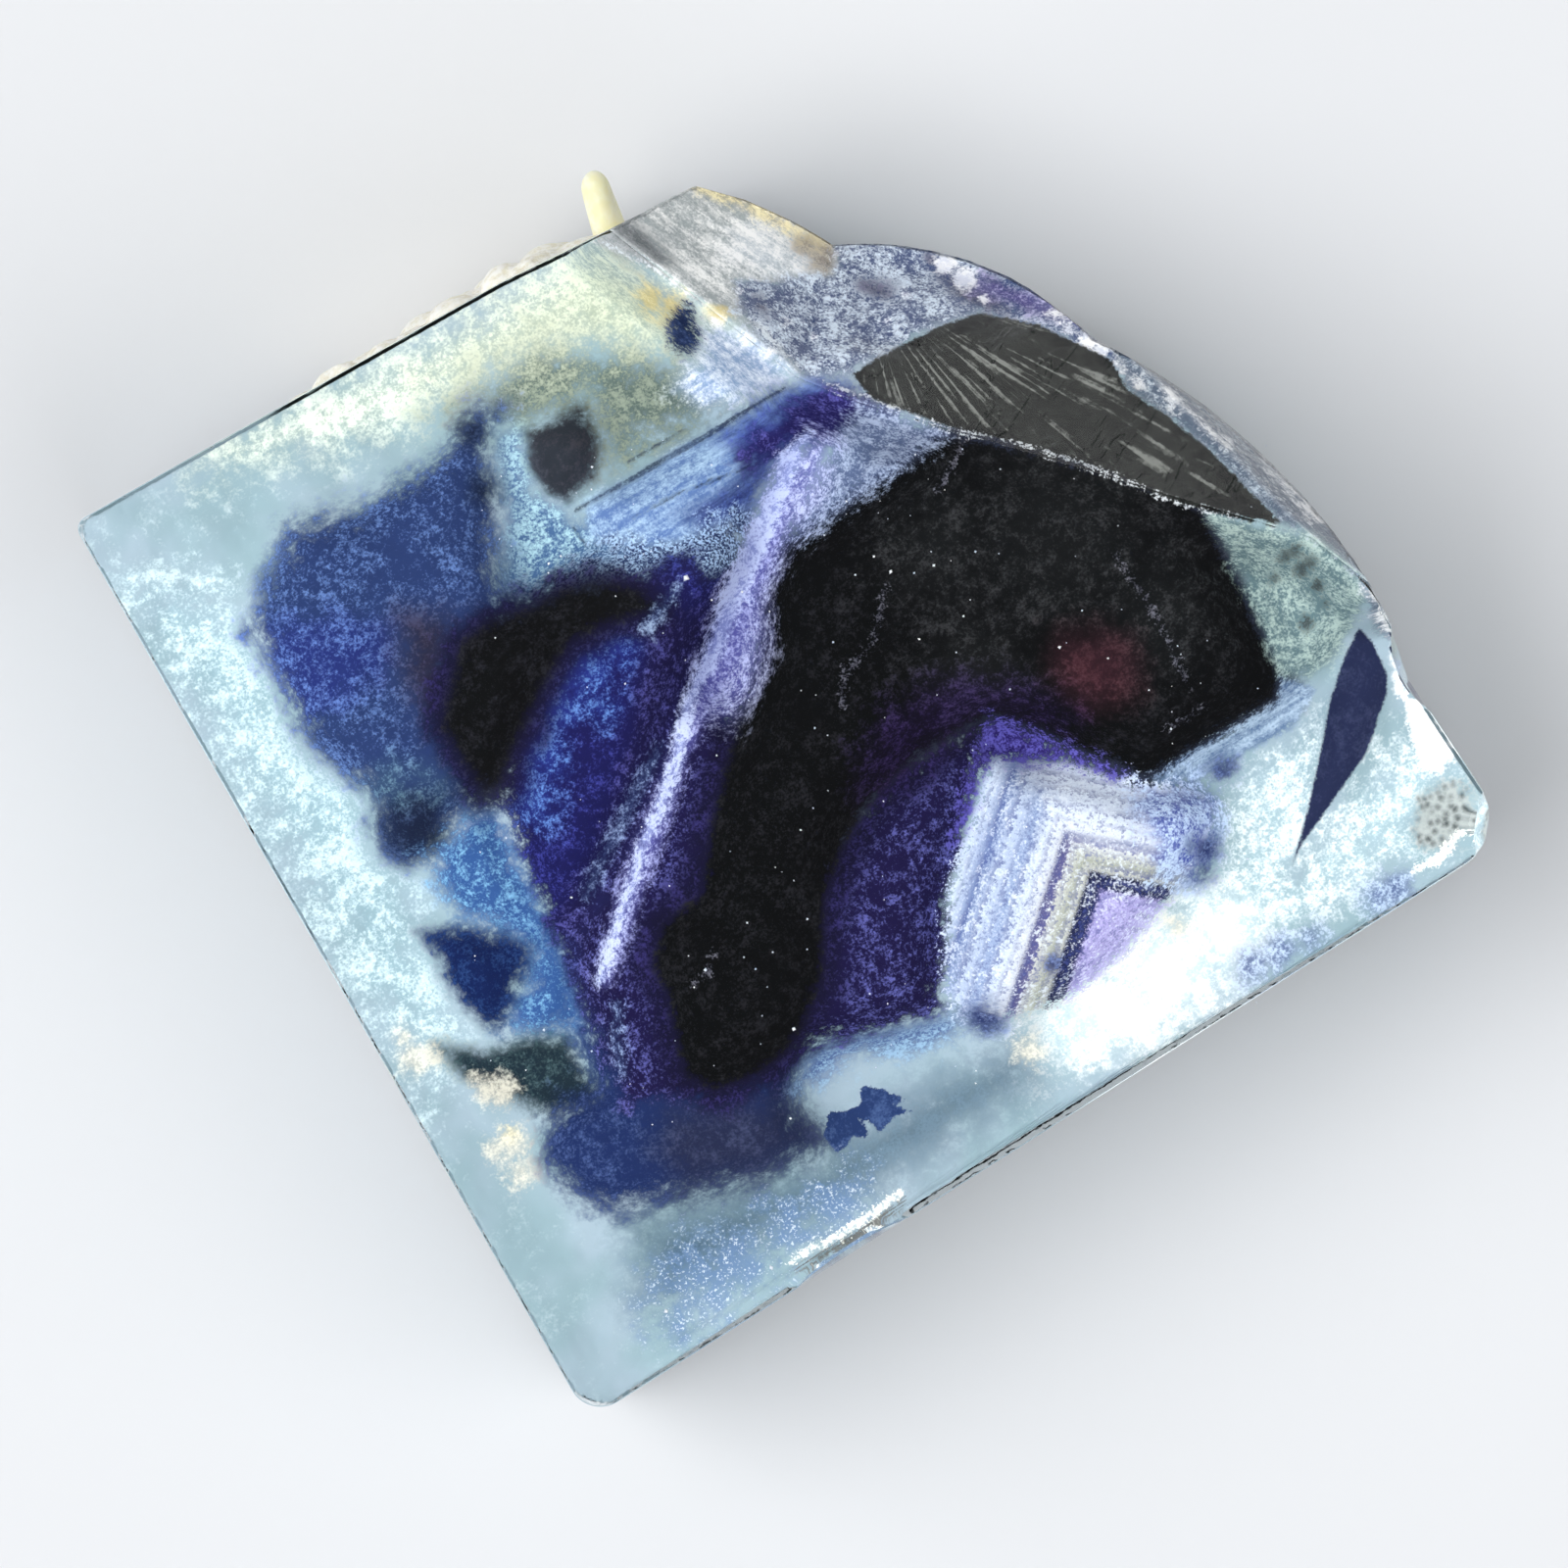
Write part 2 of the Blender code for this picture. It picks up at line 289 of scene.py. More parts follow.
@dataclass
class CrystalForm:
    """The crystal's plan outline, its breaks and chips, as functions of the plan."""

    top: float
    half_x: float = 16.7 * MM
    half_y: float = 15.8 * MM
    wear: float = 0.03 * MM
    cover: float = 0.45 * MM
    spacing: float = 0.34 * MM
    fine_spacing: float = 0.15 * MM

    def __post_init__(self) -> None:
        """Work out the outline's corners and the breaks."""
        self.peak = np.array([5.7 * MM, self.half_y - 0.75 * MM])
        self.notch = np.array([8.4, 11.3]) * MM
        self.waist = np.array([13.8, 4.6]) * MM
        self.shoulder = np.array([17.0, -7.5]) * MM
        self.dip_point = np.array([self.half_x - 0.1 * MM, self.shoulder[1] - 1.8 * MM])
        self.left = np.array([-self.half_x + 0.7 * MM, self.half_y + 0.05 * MM])
        self.sag = np.array([-1.0 * MM, self.half_y - 0.35 * MM])
        self.slope_start = np.array([2.7 * MM, self.half_y - 0.68 * MM])
        self.edge_keys = np.array([[17.02, -6.2], [16.28, -4.03], [6.4, 6.8], [5.3, 8.3]]) * MM
        self.middle = np.array([0.0, 0.0, 0.4 * self.top])
        self.striped = Slope(
            edge_point=(2.7 * MM, 15.0 * MM, self.top), strike=(2.6, -6.6),
            dip=math.radians(52.0), dish=0.15 * MM, ripple=0.03 * MM, wave=2.3 * MM,
            source=(8.0 * MM, 0.0), rough=0.05 * MM,
        )
        self.scoop = Slope(
            edge_point=(5.4 * MM, 8.3 * MM, self.top), strike=(3.8, -2.8),
            dip=math.radians(50.4), dish=0.35 * MM, ripple=0.09 * MM, wave=2.9 * MM,
            source=(4.0 * MM, 3.5 * MM), rough=0.09 * MM,
        )
        self.facet = Slope(
            edge_point=(6.4 * MM, 6.8 * MM, self.top), strike=(9.3, -10.2),
            dip=math.radians(38.0), dish=0.1 * MM, ripple=0.02 * MM, wave=2.6 * MM,
            source=(2.0 * MM, 4.0 * MM), rough=0.012 * MM,
        )
        self.wall = Slope(
            edge_point=(14.2 * MM, 3.7 * MM, self.top - 2.4 * MM), strike=(0.354, -0.935),
            dip=math.radians(71.7), dish=0.25 * MM, ripple=0.06 * MM, wave=3.1 * MM,
            source=(6.0 * MM, 3.0 * MM), rough=0.05 * MM,
        )
        self.hollows = (
            Ball((16.5 * MM, 15.3 * MM, 1.0 * MM), (9.4 * MM, 7.9 * MM, 7.4 * MM), 0.5),
            Ball((21.3 * MM, 0.6 * MM, 1.6 * MM), (6.4 * MM, 10.0 * MM, 7.6 * MM), 0.25),
            Ball((18.1 * MM, -9.3 * MM, self.top), (1.7 * MM, 2.2 * MM, 2.6 * MM)),
            Ball((18.0 * MM, -15.4 * MM, self.top + 0.6 * MM), (2.7 * MM, 2.4 * MM, 2.2 * MM), 0.6),
            Ball((-6.9 * MM, -self.half_y - 0.25 * MM, self.top + 0.2 * MM),
                 (2.9 * MM, 0.8 * MM, 0.6 * MM)),
            Ball((-self.half_x, 3.0 * MM, -0.3 * MM), (0.8 * MM, 2.6 * MM, 0.9 * MM)),
        )

    def fillet(self, before: Array, corner: Array, after: Array, radius: float, steps: int) -> Array:
        """Arc that rounds a corner: points at equal angles about a centre on the bisector.

        Args:
            before: a point of the edge before the corner.
            corner: the sharp corner.
            after: a point of the edge after it.
            radius: the arc's radius.
            steps: how many pieces the arc has.

        Returns:
            The arc's points, shape (steps + 1, 2).
        """
        back = (before - corner) / np.linalg.norm(before - corner)
        on = (after - corner) / np.linalg.norm(after - corner)
        half = math.acos(float(back @ on)) / 2
        bisector = (back + on) / np.linalg.norm(back + on)
        centre = corner + bisector * radius / math.sin(half)
        first = corner + back * radius / math.tan(half) - centre
        last = corner + on * radius / math.tan(half) - centre
        start = math.atan2(first[1], first[0])
        sweep = (math.atan2(last[1], last[0]) - start + math.pi) % (2 * math.pi) - math.pi
        angle = start + sweep * np.linspace(0.0, 1.0, steps + 1)
        return centre + radius * np.stack([np.cos(angle), np.sin(angle)], axis=1)

    def scallop(self, start: Array, end: Array, bulge: float, steps: int) -> Array:
        """Shallow parabola from start up to but not including end, bulging to the right of the way."""
        share = (np.arange(steps) / steps)[:, None]
        along = end - start
        side = np.array([along[1], -along[0]]) / np.linalg.norm(along)
        return start + along * share + side * (4 * bulge * share * (1 - share))

    def inwards(self, ring: Array) -> Array:
        """Unit plan directions from the points of a closed ring into it."""
        ahead = np.roll(ring, -1, axis=0) - np.roll(ring, 1, axis=0)
        inward = np.stack([-ahead[:, 1], ahead[:, 0]], axis=1)
        return inward / np.linalg.norm(inward, axis=1)[:, None]

    def straight(self, start: Array, end: Array, spacing: float) -> Array:
        """Evenly spaced points from start up to but not including end."""
        steps = max(1, round(float(np.linalg.norm(end - start)) / spacing))
        share = (np.arange(steps) / steps)[:, None]
        return start + (end - start) * share

    def rings(self) -> tuple[Array, Array, Array]:
        """The outer plan ring, the ring of the front face's edge inside it, and which is broken.

        Along the natural sides the inner ring lies just inside the outer one, by the wear of the
        edge. Along the broken side it follows the upper edges of the breaks, matched to the outer
        ring corner by corner.

        Returns:
            The outer ring, the inner ring and a mask of the broken columns.
        """
        bottom = np.array([-self.half_x + 0.1 * MM, -self.half_y])
        right = np.array([self.half_x + 0.15 * MM, -self.half_y + 0.8 * MM])
        left, sag = self.left, self.sag
        arcs = [
            self.fillet(left, bottom, right, 1.0 * MM, 14),
            self.fillet(bottom, right, self.dip_point, 1.7 * MM, 18),
            self.fillet(sag, left, bottom, 0.4 * MM, 8),
        ]
        spacing = self.spacing
        natural = [
            arcs[0][:-1], self.straight(arcs[0][-1], arcs[1][0], spacing), arcs[1][:-1],
            self.straight(arcs[1][-1], self.dip_point, self.fine_spacing),
            self.straight(self.dip_point, self.shoulder, self.fine_spacing),
        ]
        broken = [
            self.scallop(self.shoulder, self.waist, 1.1 * MM, 150),
            self.scallop(self.waist, self.notch, 1.0 * MM, 110),
            self.scallop(self.notch, self.peak, 0.2 * MM, 60),
            self.straight(self.peak, self.slope_start, 0.09 * MM),
        ]
        closing = [
            self.straight(self.slope_start, sag, spacing), self.straight(sag, arcs[2][0], spacing),
            arcs[2][:-1], self.straight(arcs[2][-1], arcs[0][0], spacing),
        ]
        outer = np.concatenate(natural + broken + closing)
        head = sum(len(part) for part in natural)
        tail = sum(len(part) for part in closing)
        inner = outer + self.wear * self.inwards(outer)
        keys = self.edge_keys
        mid_edge = keys[1] + (keys[2] - keys[1]) * 0.52  # across from the waist
        runs = (
            (keys[0], keys[1], 40), (keys[1], mid_edge, 110), (mid_edge, keys[2], 90),
            (keys[2], keys[3], 20), (keys[3], self.slope_start, 60),
        )
        edge = [
            start + (end - start) * (np.arange(count) / count)[:, None]
            for start, end, count in runs
        ]
        edge.append(np.repeat(self.slope_start[None], len(broken[-1]), axis=0))
        inner[head:len(outer) - tail] = np.concatenate(edge)
        is_broken = np.zeros(len(outer), bool)
        is_broken[head:len(outer) - tail] = True
        return outer, inner, is_broken

    def front_height(self, plan: Array) -> Array:
        """Height of the crystal's upper side: the front face, or the lowest break over a point.

        The striped slope counts only on its own side of the valley that runs from the corner of
        the breaks to the notch, and the scoop only on the other.
        """
        valley = self.notch - self.edge_keys[3]
        offset = plan - self.edge_keys[3]
        beyond = offset[:, 0] * valley[1] - offset[:, 1] * valley[0]
        other = np.minimum(self.scoop.height(plan), self.facet.height(plan))
        other = np.minimum(other, self.wall.height(plan))
        slope = np.where(beyond < 0.0, self.striped.height(plan), other)
        return np.where(self.into_breaks(plan) > 0.0, np.minimum(slope, self.top), self.top)

    def into_breaks(self, plan: Array) -> Array:
        """Signed distance to the edge of the breaks, positive on their side."""
        far = 30.0 * MM
        edge = [[far, far], [far, -6.2 * MM], *self.edge_keys, self.slope_start, [2.7 * MM, far]]
        return signed_distance(plan, np.array(edge))

    def upper_side(self, x: Array) -> Array:
        """Y of the natural upper-left side for each X."""
        keys = np.array([self.left, self.sag, self.slope_start, self.peak])
        return np.interp(x, keys[:, 0], keys[:, 1])

    def outline(self) -> Array:
        """The outer ring as a polygon."""
        return self.rings()[0]


# Meshes


def grid_faces(rows: int, columns: int, closed: bool) -> Array:
    """Quads of a grid of points stored row by row; closed joins the last column to the first."""
    row = np.arange(rows - 1)[:, None]
    column = np.arange(columns if closed else columns - 1)[None]
    following = (column + 1) % columns
    corners = [row * columns + column, row * columns + following]
    corners += [(row + 1) * columns + following, (row + 1) * columns + column]
    return np.stack(corners, axis=-1).reshape(-1, 4)


def make_piece(name: str, points: Array, faces: Array | list) -> bpy.types.Object:
    """A mesh object from arrays, with smooth shading.

    Args:
        name: the piece's name.
        points: vertices, shape (n, 3).
        faces: corner numbers of each face.

    Returns:
        The new object.
    """
    mesh = bpy.data.meshes.new(name)
    mesh.from_pydata(points.tolist(), [], faces.tolist() if isinstance(faces, np.ndarray) else faces)
    mesh.validate()
    piece = bpy.data.objects.new(name, mesh)
    bpy.context.scene.collection.objects.link(piece)
    mesh.shade_smooth()
    return piece


def weld(piece: bpy.types.Object, distance: float = 0.002 * MM) -> None:
    """Merge the points that lie together and turn every face outwards."""
    builder = bmesh.new()
    builder.from_mesh(piece.data)
    bmesh.ops.remove_doubles(builder, verts=builder.verts, dist=distance)
    bmesh.ops.recalc_face_normals(builder, faces=builder.faces)
    builder.to_mesh(piece.data)
    builder.free()


def add_attribute(piece: bpy.types.Object, name: str, values: Array) -> None:
    """Store one number a point on a mesh, for its material to read."""
    attribute = piece.data.attributes.new(name, "FLOAT", "POINT")
    attribute.data.foreach_set("value", values.astype(np.float32))


def add_vectors(piece: bpy.types.Object, name: str, values: Array) -> None:
    """Store three numbers a point on a mesh as one vector."""
    attribute = piece.data.attributes.new(name, "FLOAT_VECTOR", "POINT")
    attribute.data.foreach_set("vector", values.astype(np.float32).ravel())


# Shader expressions


class Value:
    """One number that a shader works out, with Python's operators."""

    def __init__(self, graph: Graph, socket: bpy.types.NodeSocket) -> None:
        """Wrap a node's output."""
        self.graph = graph
        self.socket = socket

    def __add__(self, other: Value | float) -> Value:
        """Sum."""
        return self.graph.math("ADD", self, other)

    __radd__ = __add__

    def __sub__(self, other: Value | float) -> Value:
        """Difference."""
        return self.graph.math("SUBTRACT", self, other)

    def __rsub__(self, other: float) -> Value:
        """Difference from a number."""
        return self.graph.math("SUBTRACT", other, self)

    def __mul__(self, other: Value | float) -> Value:
        """Product."""
        return self.graph.math("MULTIPLY", self, other)

    __rmul__ = __mul__

    def __truediv__(self, other: Value | float) -> Value:
        """Quotient."""
        return self.graph.math("DIVIDE", self, other)

    def times_plus(self, factor: float, other: Value) -> Value:
        """Product with a number plus another value, in one node."""
        return self.graph.node(
            "ShaderNodeMath", {"operation": "MULTIPLY_ADD"}, {0: self, 1: factor, 2: other}
        )

    def part(self, index: int) -> Value:
        """Another output of the same node."""
        return Value(self.graph, self.socket.node.outputs[index])

    def step(self, low: float, high: float) -> Value:
        """Ease from 0 to 1 as the value goes from low to high."""
        settings = {"interpolation_type": "SMOOTHSTEP", "clamp": False}
        return self.graph.node("ShaderNodeMapRange", settings, {0: self, 1: low, 2: high})

    def ramp(self, stops: Sequence[tuple[float, Colour]]) -> Value:
        """Colour along a row of stops, each a place from 0 to 1 and a colour."""
        return self.graph.node("ShaderNodeValToRGB", {"stops": stops}, {0: self})


class Graph:
    """A material's node tree, built from expressions."""

    def __init__(self, name: str) -> None:
        """Start an empty material."""
        self.material = bpy.data.materials.new(name)
        self.material.use_nodes = True
        self.tree = self.material.node_tree
        self.tree.nodes.clear()
        self.place = self.node("ShaderNodeTexCoord", {}, {}, output="Object")

    def node(self, kind: str, settings: dict, inputs: dict, output: int | str = 0) -> Value:
        """Add a node.

        Args:
            kind: the node's type.
            settings: properties set first; stops fills a colour ramp.
            inputs: socket numbers or names with a Value, number or colour each.
            output: which output is returned.

        Returns:
            The chosen output.
        """
        made = self.tree.nodes.new(kind)
        for key, setting in settings.items():
            if key == "stops":
                self.fill_ramp(made.color_ramp, setting)
            else:
                setattr(made, key, setting)
        for key, entry in inputs.items():
            if isinstance(entry, Value):
                self.tree.links.new(entry.socket, made.inputs[key])
            else:
                made.inputs[key].default_value = (*entry, 1.0) if (
                    isinstance(entry, tuple) and made.inputs[key].type == "RGBA"
                ) else entry
        return Value(self, made.outputs[output])

    def fill_ramp(self, ramp: bpy.types.ColorRamp, stops: Sequence[tuple[float, Colour]]) -> None:
        """Give a colour ramp its stops."""
        while len(ramp.elements) < len(stops):
            ramp.elements.new(0.5)
        for element, (place, colour) in zip(ramp.elements, stops):
            element.position = place
            element.color = (*colour, 1.0)

    def math(self, operation: str, first: Value | float, second: Value | float = 0.0) -> Value:
        """A Math node."""
        return self.node("ShaderNodeMath", {"operation": operation}, {0: first, 1: second})

    def mix(self, share: Value | float, first: Value | Colour, second: Value | Colour) -> Value:
        """Blend two colours."""
        settings = {"data_type": "RGBA", "clamp_factor": True}
        return self.node("ShaderNodeMix", settings, {0: share, 6: first, 7: second}, output=2)

    def attribute(self, name: str) -> Value:
        """A number stored on the mesh."""
        return self.node("ShaderNodeAttribute", {"attribute_name": name}, {}, output="Fac")

    def moved(self, scale: Sequence[float], turn: float = 0.0) -> Value:
        """The object's coordinates, turned about Z and scaled along each axis."""
        turned = self.node(
            "ShaderNodeMapping", {"vector_type": "TEXTURE"},
            {0: self.place, 2: (0.0, 0.0, turn)},
        )
        return self.node(
            "ShaderNodeVectorMath", {"operation": "MULTIPLY"}, {0: turned, 1: tuple(scale)}
        )

    def noise(
        self, size: float, detail: float = 4.0, roughness: float = 0.6, warp: float = 0.0,
        vector: Value | None = None,
    ) -> Value:
        """Noise about zero, from about -1 to 1, with features of the given size."""
        scale = 1.0 / size if vector is None else 1.0
        raw = self.node(
            "ShaderNodeTexNoise", {"noise_dimensions": "3D"},
            {
                "Vector": vector or self.place, "Scale": scale, "Detail": detail,
                "Roughness": roughness, "Distortion": warp,
            },
            output="Fac",
        )
        return (raw - 0.5) * 5.0

    def cells(self, size: float) -> Value:
        """Distance to the nearest of the points scattered through space."""
        inputs = {"Vector": self.place, "Scale": 1.0 / size}
        return self.node("ShaderNodeTexVoronoi", {}, inputs, output="Distance")

    def principled(self, inputs: dict) -> bpy.types.Node:
        """The material's surface: one Principled BSDF joined to the output."""
        shader = self.node("ShaderNodeBsdfPrincipled", {}, inputs, output="BSDF")
        self.output = self.tree.nodes.new("ShaderNodeOutputMaterial")
        self.tree.links.new(shader.socket, self.output.inputs["Surface"])
        return shader

    def bump(self, height: Value, depth: float, strength: float = 1.0) -> Value:
        """A bump of the given depth for a height from 0 to 1."""
        return self.node(
            "ShaderNodeBump", {}, {"Strength": strength, "Distance": depth, "Height": height},
            output="Normal",
        )


def rgb(red: int, green: int, blue: int) -> Colour:
    """Scene-linear colour of a screen colour from 0 to 255."""
    def linear(level: float) -> float:
        """Undo the screen's curve."""
        return level / 12.92 if level <= 0.04045 else ((level + 0.055) / 1.055) ** 2.4

    return (linear(red / 255), linear(green / 255), linear(blue / 255))


# Finishes


@dataclass(frozen=True)
class ClearFluorite:
    """The see-through crystal: pale aqua, glossy, with fine lines on its breaks."""

    refraction: float = 1.434
    tint: Colour = (0.62, 0.9, 0.95)
    density: float = 9.0

    def build(self) -> bpy.types.Material:
        """Make the material.

        Returns:
            The glass, with a constant absorption inside.
        """
        graph = Graph("clear_fluorite")
        on_break = graph.attribute("break_share")
        hackle = graph.noise(
            1.0, detail=2.0, roughness=0.7, warp=0.4,
            vector=graph.moved((1500.0, 260.0, 500.0), turn=math.radians(-62.0)),
        )
        grain = graph.noise(0.5 * MM, detail=2.0, roughness=0.65)
        height = on_break * (hackle.step(0.25, 0.6) * 0.8 + grain * 0.25) + grain * 0.02
        roughness = on_break * 0.07 + 0.015
        graph.principled({
            "Base Color": (1.0, 1.0, 1.0), "Transmission Weight": 1.0, "IOR": self.refraction,
            "Roughness": roughness, "Normal": graph.bump(height, 0.05 * MM, 0.6),
        })
        volume = graph.node(
            "ShaderNodeVolumeAbsorption", {}, {"Color": self.tint, "Density": self.density},
            output="Volume",
        )
        graph.tree.links.new(volume.socket, graph.output.inputs["Volume"])
        return graph.material


class Texture(Enum):
    """The patterns that mingle the two tones of a coat."""

    CLOUD = "cloud"
    FUR = "fur"
    SPECKLE = "speckle"
    FIBRES = "fibres"
    STRIPES = "stripes"
    HACKLE = "hackle"
    CELLS = "cells"


class Edge(Enum):
    """How a coat's edge frays: the weights of the coarse, the middle and the fine noise."""

    CLOUDY = (0.8, 0.55, 0.2)
    FEATHERY = (0.45, 0.8, 0.4)
    CRISP = (0.0, 0.75, 0.65)


class Mingle(Enum):
    """How much of a coat is light: the noise levels where it is all dark and all light."""

    PALE = (-0.6, 0.4)
    EVEN = (-0.5, 0.7)
    DEEP = (-0.2, 1.1)
    SPARSE = (0.25, 1.05)


@dataclass(frozen=True)
class Coat:
    """One coat of colour on the heart.

    The coat lies where a stored distance is positive. Noise pushes its edge in and out by the
    reach, the edge is soft over twice the softness, both in millimetres, and a texture mingles its
    dark and its light tone, which are screen colours from 0 to 255.
    """

    field: str
    dark: Tone
    light: Tone
    reach: float
    soft: float
    mingle: Mingle = Mingle.DEEP
    edge: Edge = Edge.CLOUDY
    texture: Texture = Texture.FUR
    strength: float = 1.0


COATS = (
    Coat("upper_band", (182, 194, 180), (236, 243, 226), 0.7, 1.2, Mingle.PALE),
    Coat("left_frost", (152, 182, 192), (218, 238, 242), 1.1, 1.4, Mingle.EVEN),
    Coat("right_frost", (164, 190, 198), (238, 246, 247), 0.96, 1.0, Mingle.EVEN),
    Coat("glare", (214, 230, 232), (255, 255, 252), 0.59, 1.3, Mingle.PALE, texture=Texture.CLOUD),
    Coat("dusk", (70, 92, 108), (104, 126, 142), 0.73, 1.4, Mingle.EVEN, texture=Texture.CLOUD),
    Coat("olive", (80, 94, 88), (140, 150, 132), 1.0, 1.0, Mingle.EVEN, strength=0.95),
    Coat("cream", (170, 178, 156), (214, 218, 194), 0.75, 1.0, Mingle.EVEN, strength=0.7),
    Coat("yellow", (214, 196, 134), (246, 234, 182), 0.3, 0.3, texture=Texture.CLOUD, strength=0.9),
    Coat("wedge", (136, 160, 196), (244, 248, 255), 0.51, 0.5, Mingle.EVEN, texture=Texture.FIBRES,
        strength=0.95),
    Coat("aqua_feather", (66, 98, 142), (176, 212, 222), 0.5, 0.5, Mingle.EVEN, strength=0.95),
    Coat("banded", (92, 120, 172), (178, 206, 230), 0.22, 0.35, Mingle.EVEN, texture=Texture.FIBRES),
    Coat("banded_blue", (34, 38, 100), (84, 110, 186), 0.44, 0.7, Mingle.EVEN, texture=Texture.FIBRES),
    Coat("deep_blue", (34, 30, 84), (90, 88, 164), 0.47, 0.4),
    Coat("lines", (20, 28, 48), (36, 50, 84), 0.04, 0.05, Mingle.EVEN, edge=Edge.CRISP,
        texture=Texture.CLOUD, strength=0.85),
    Coat("blue_blob", (26, 38, 72), (66, 84, 128), 0.27, 0.2, edge=Edge.FEATHERY, texture=Texture.CLOUD),
    Coat("speckled", (32, 46, 92), (176, 204, 236), 0.58, 0.35, Mingle.EVEN, texture=Texture.SPECKLE,
        strength=0.95),
    Coat("navy", (38, 54, 98), (98, 126, 182), 0.55, 0.6),
    Coat("navy_fringe", (34, 44, 106), (96, 124, 190), 0.6, 0.6, strength=0.9),
    Coat("maroon", (36, 33, 46), (56, 49, 68), 0.46, 0.9, Mingle.EVEN, texture=Texture.CLOUD, strength=0.9),
    Coat("navy_dark", (20, 28, 48), (42, 54, 82), 0.37, 0.6, strength=0.9),
    Coat("teal", (54, 78, 106), (104, 136, 150), 0.4, 0.6, strength=0.75),
    Coat("cyan", (50, 84, 140), (126, 178, 214), 0.55, 0.55),
    Coat("blob", (16, 30, 74), (40, 66, 116), 0.36, 0.42),
    Coat("green_dark", (28, 42, 52), (66, 88, 92), 0.3, 0.4),
    Coat("warm_patches", (196, 192, 178), (238, 232, 214), 0.5, 0.4, Mingle.EVEN, strength=0.75),
    Coat("inner_ground", (28, 28, 70), (70, 84, 150), 0.4, 0.3),
    Coat("royal", (24, 24, 76), (62, 66, 152), 0.45, 0.45),
    Coat("bright_blue", (38, 50, 126), (110, 154, 222), 0.67, 0.7, strength=0.9),
    Coat("shadow", (24, 20, 60), (80, 78, 146), 0.4, 0.5, strength=0.9),
    Coat("slate", (28, 42, 86), (66, 84, 130), 0.5, 0.6),
    Coat("slate_warm", (34, 38, 62), (58, 62, 88), 0.46, 1.0, texture=Texture.CLOUD, strength=0.85),
    Coat("blue_fringe", (54, 78, 138), (150, 184, 212), 0.5, 0.5, Mingle.EVEN, strength=0.9),
    Coat("violet", (24, 19, 58), (98, 100, 172), 0.47, 0.3),
    Coat("arrowheads", (36, 54, 98), (70, 92, 136), 0.05, 0.03, edge=Edge.CRISP, texture=Texture.CLOUD),
    Coat("edge_blue", (56, 72, 128), (180, 200, 226), 0.6, 0.5, Mingle.EVEN, strength=0.85),
    Coat("blue_specks", (100, 130, 176), (236, 246, 255), 1.0, 0.9, Mingle.SPARSE,
        texture=Texture.SPECKLE, strength=0.6),
    Coat("fringe", (17, 15, 40), (46, 40, 94), 0.38, 0.45, strength=0.95),
    Coat("core", (5, 6, 7), (32, 32, 36), 0.26, 0.18, edge=Edge.FEATHERY),
    Coat("core_haze", (26, 28, 29), (62, 63, 64), 1.0, 1.6, strength=0.5),
    Coat("core_violet", (26, 14, 48), (64, 44, 104), 0.59, 1.0, strength=0.6),
    Coat("core_red", (52, 28, 36), (84, 46, 54), 0.35, 1.0, texture=Texture.CLOUD, strength=0.8),
    Coat("scratches", (70, 70, 82), (140, 140, 154), 0.17, 0.08, edge=Edge.CRISP, strength=0.5),
    Coat("lesser_core", (8, 9, 10), (34, 34, 40), 0.29, 0.3, edge=Edge.FEATHERY),
    Coat("pale_band", (92, 116, 150), (182, 202, 222), 0.2, 0.15, Mingle.EVEN, edge=Edge.FEATHERY,
        texture=Texture.FIBRES),
    Coat("aqua_window", (96, 120, 126), (176, 196, 190), 0.25, 0.25, Mingle.EVEN),
    Coat("window_dots", (44, 50, 54), (96, 110, 112), 0.27, 0.15, edge=Edge.FEATHERY,
        texture=Texture.CLOUD, strength=0.9),
)
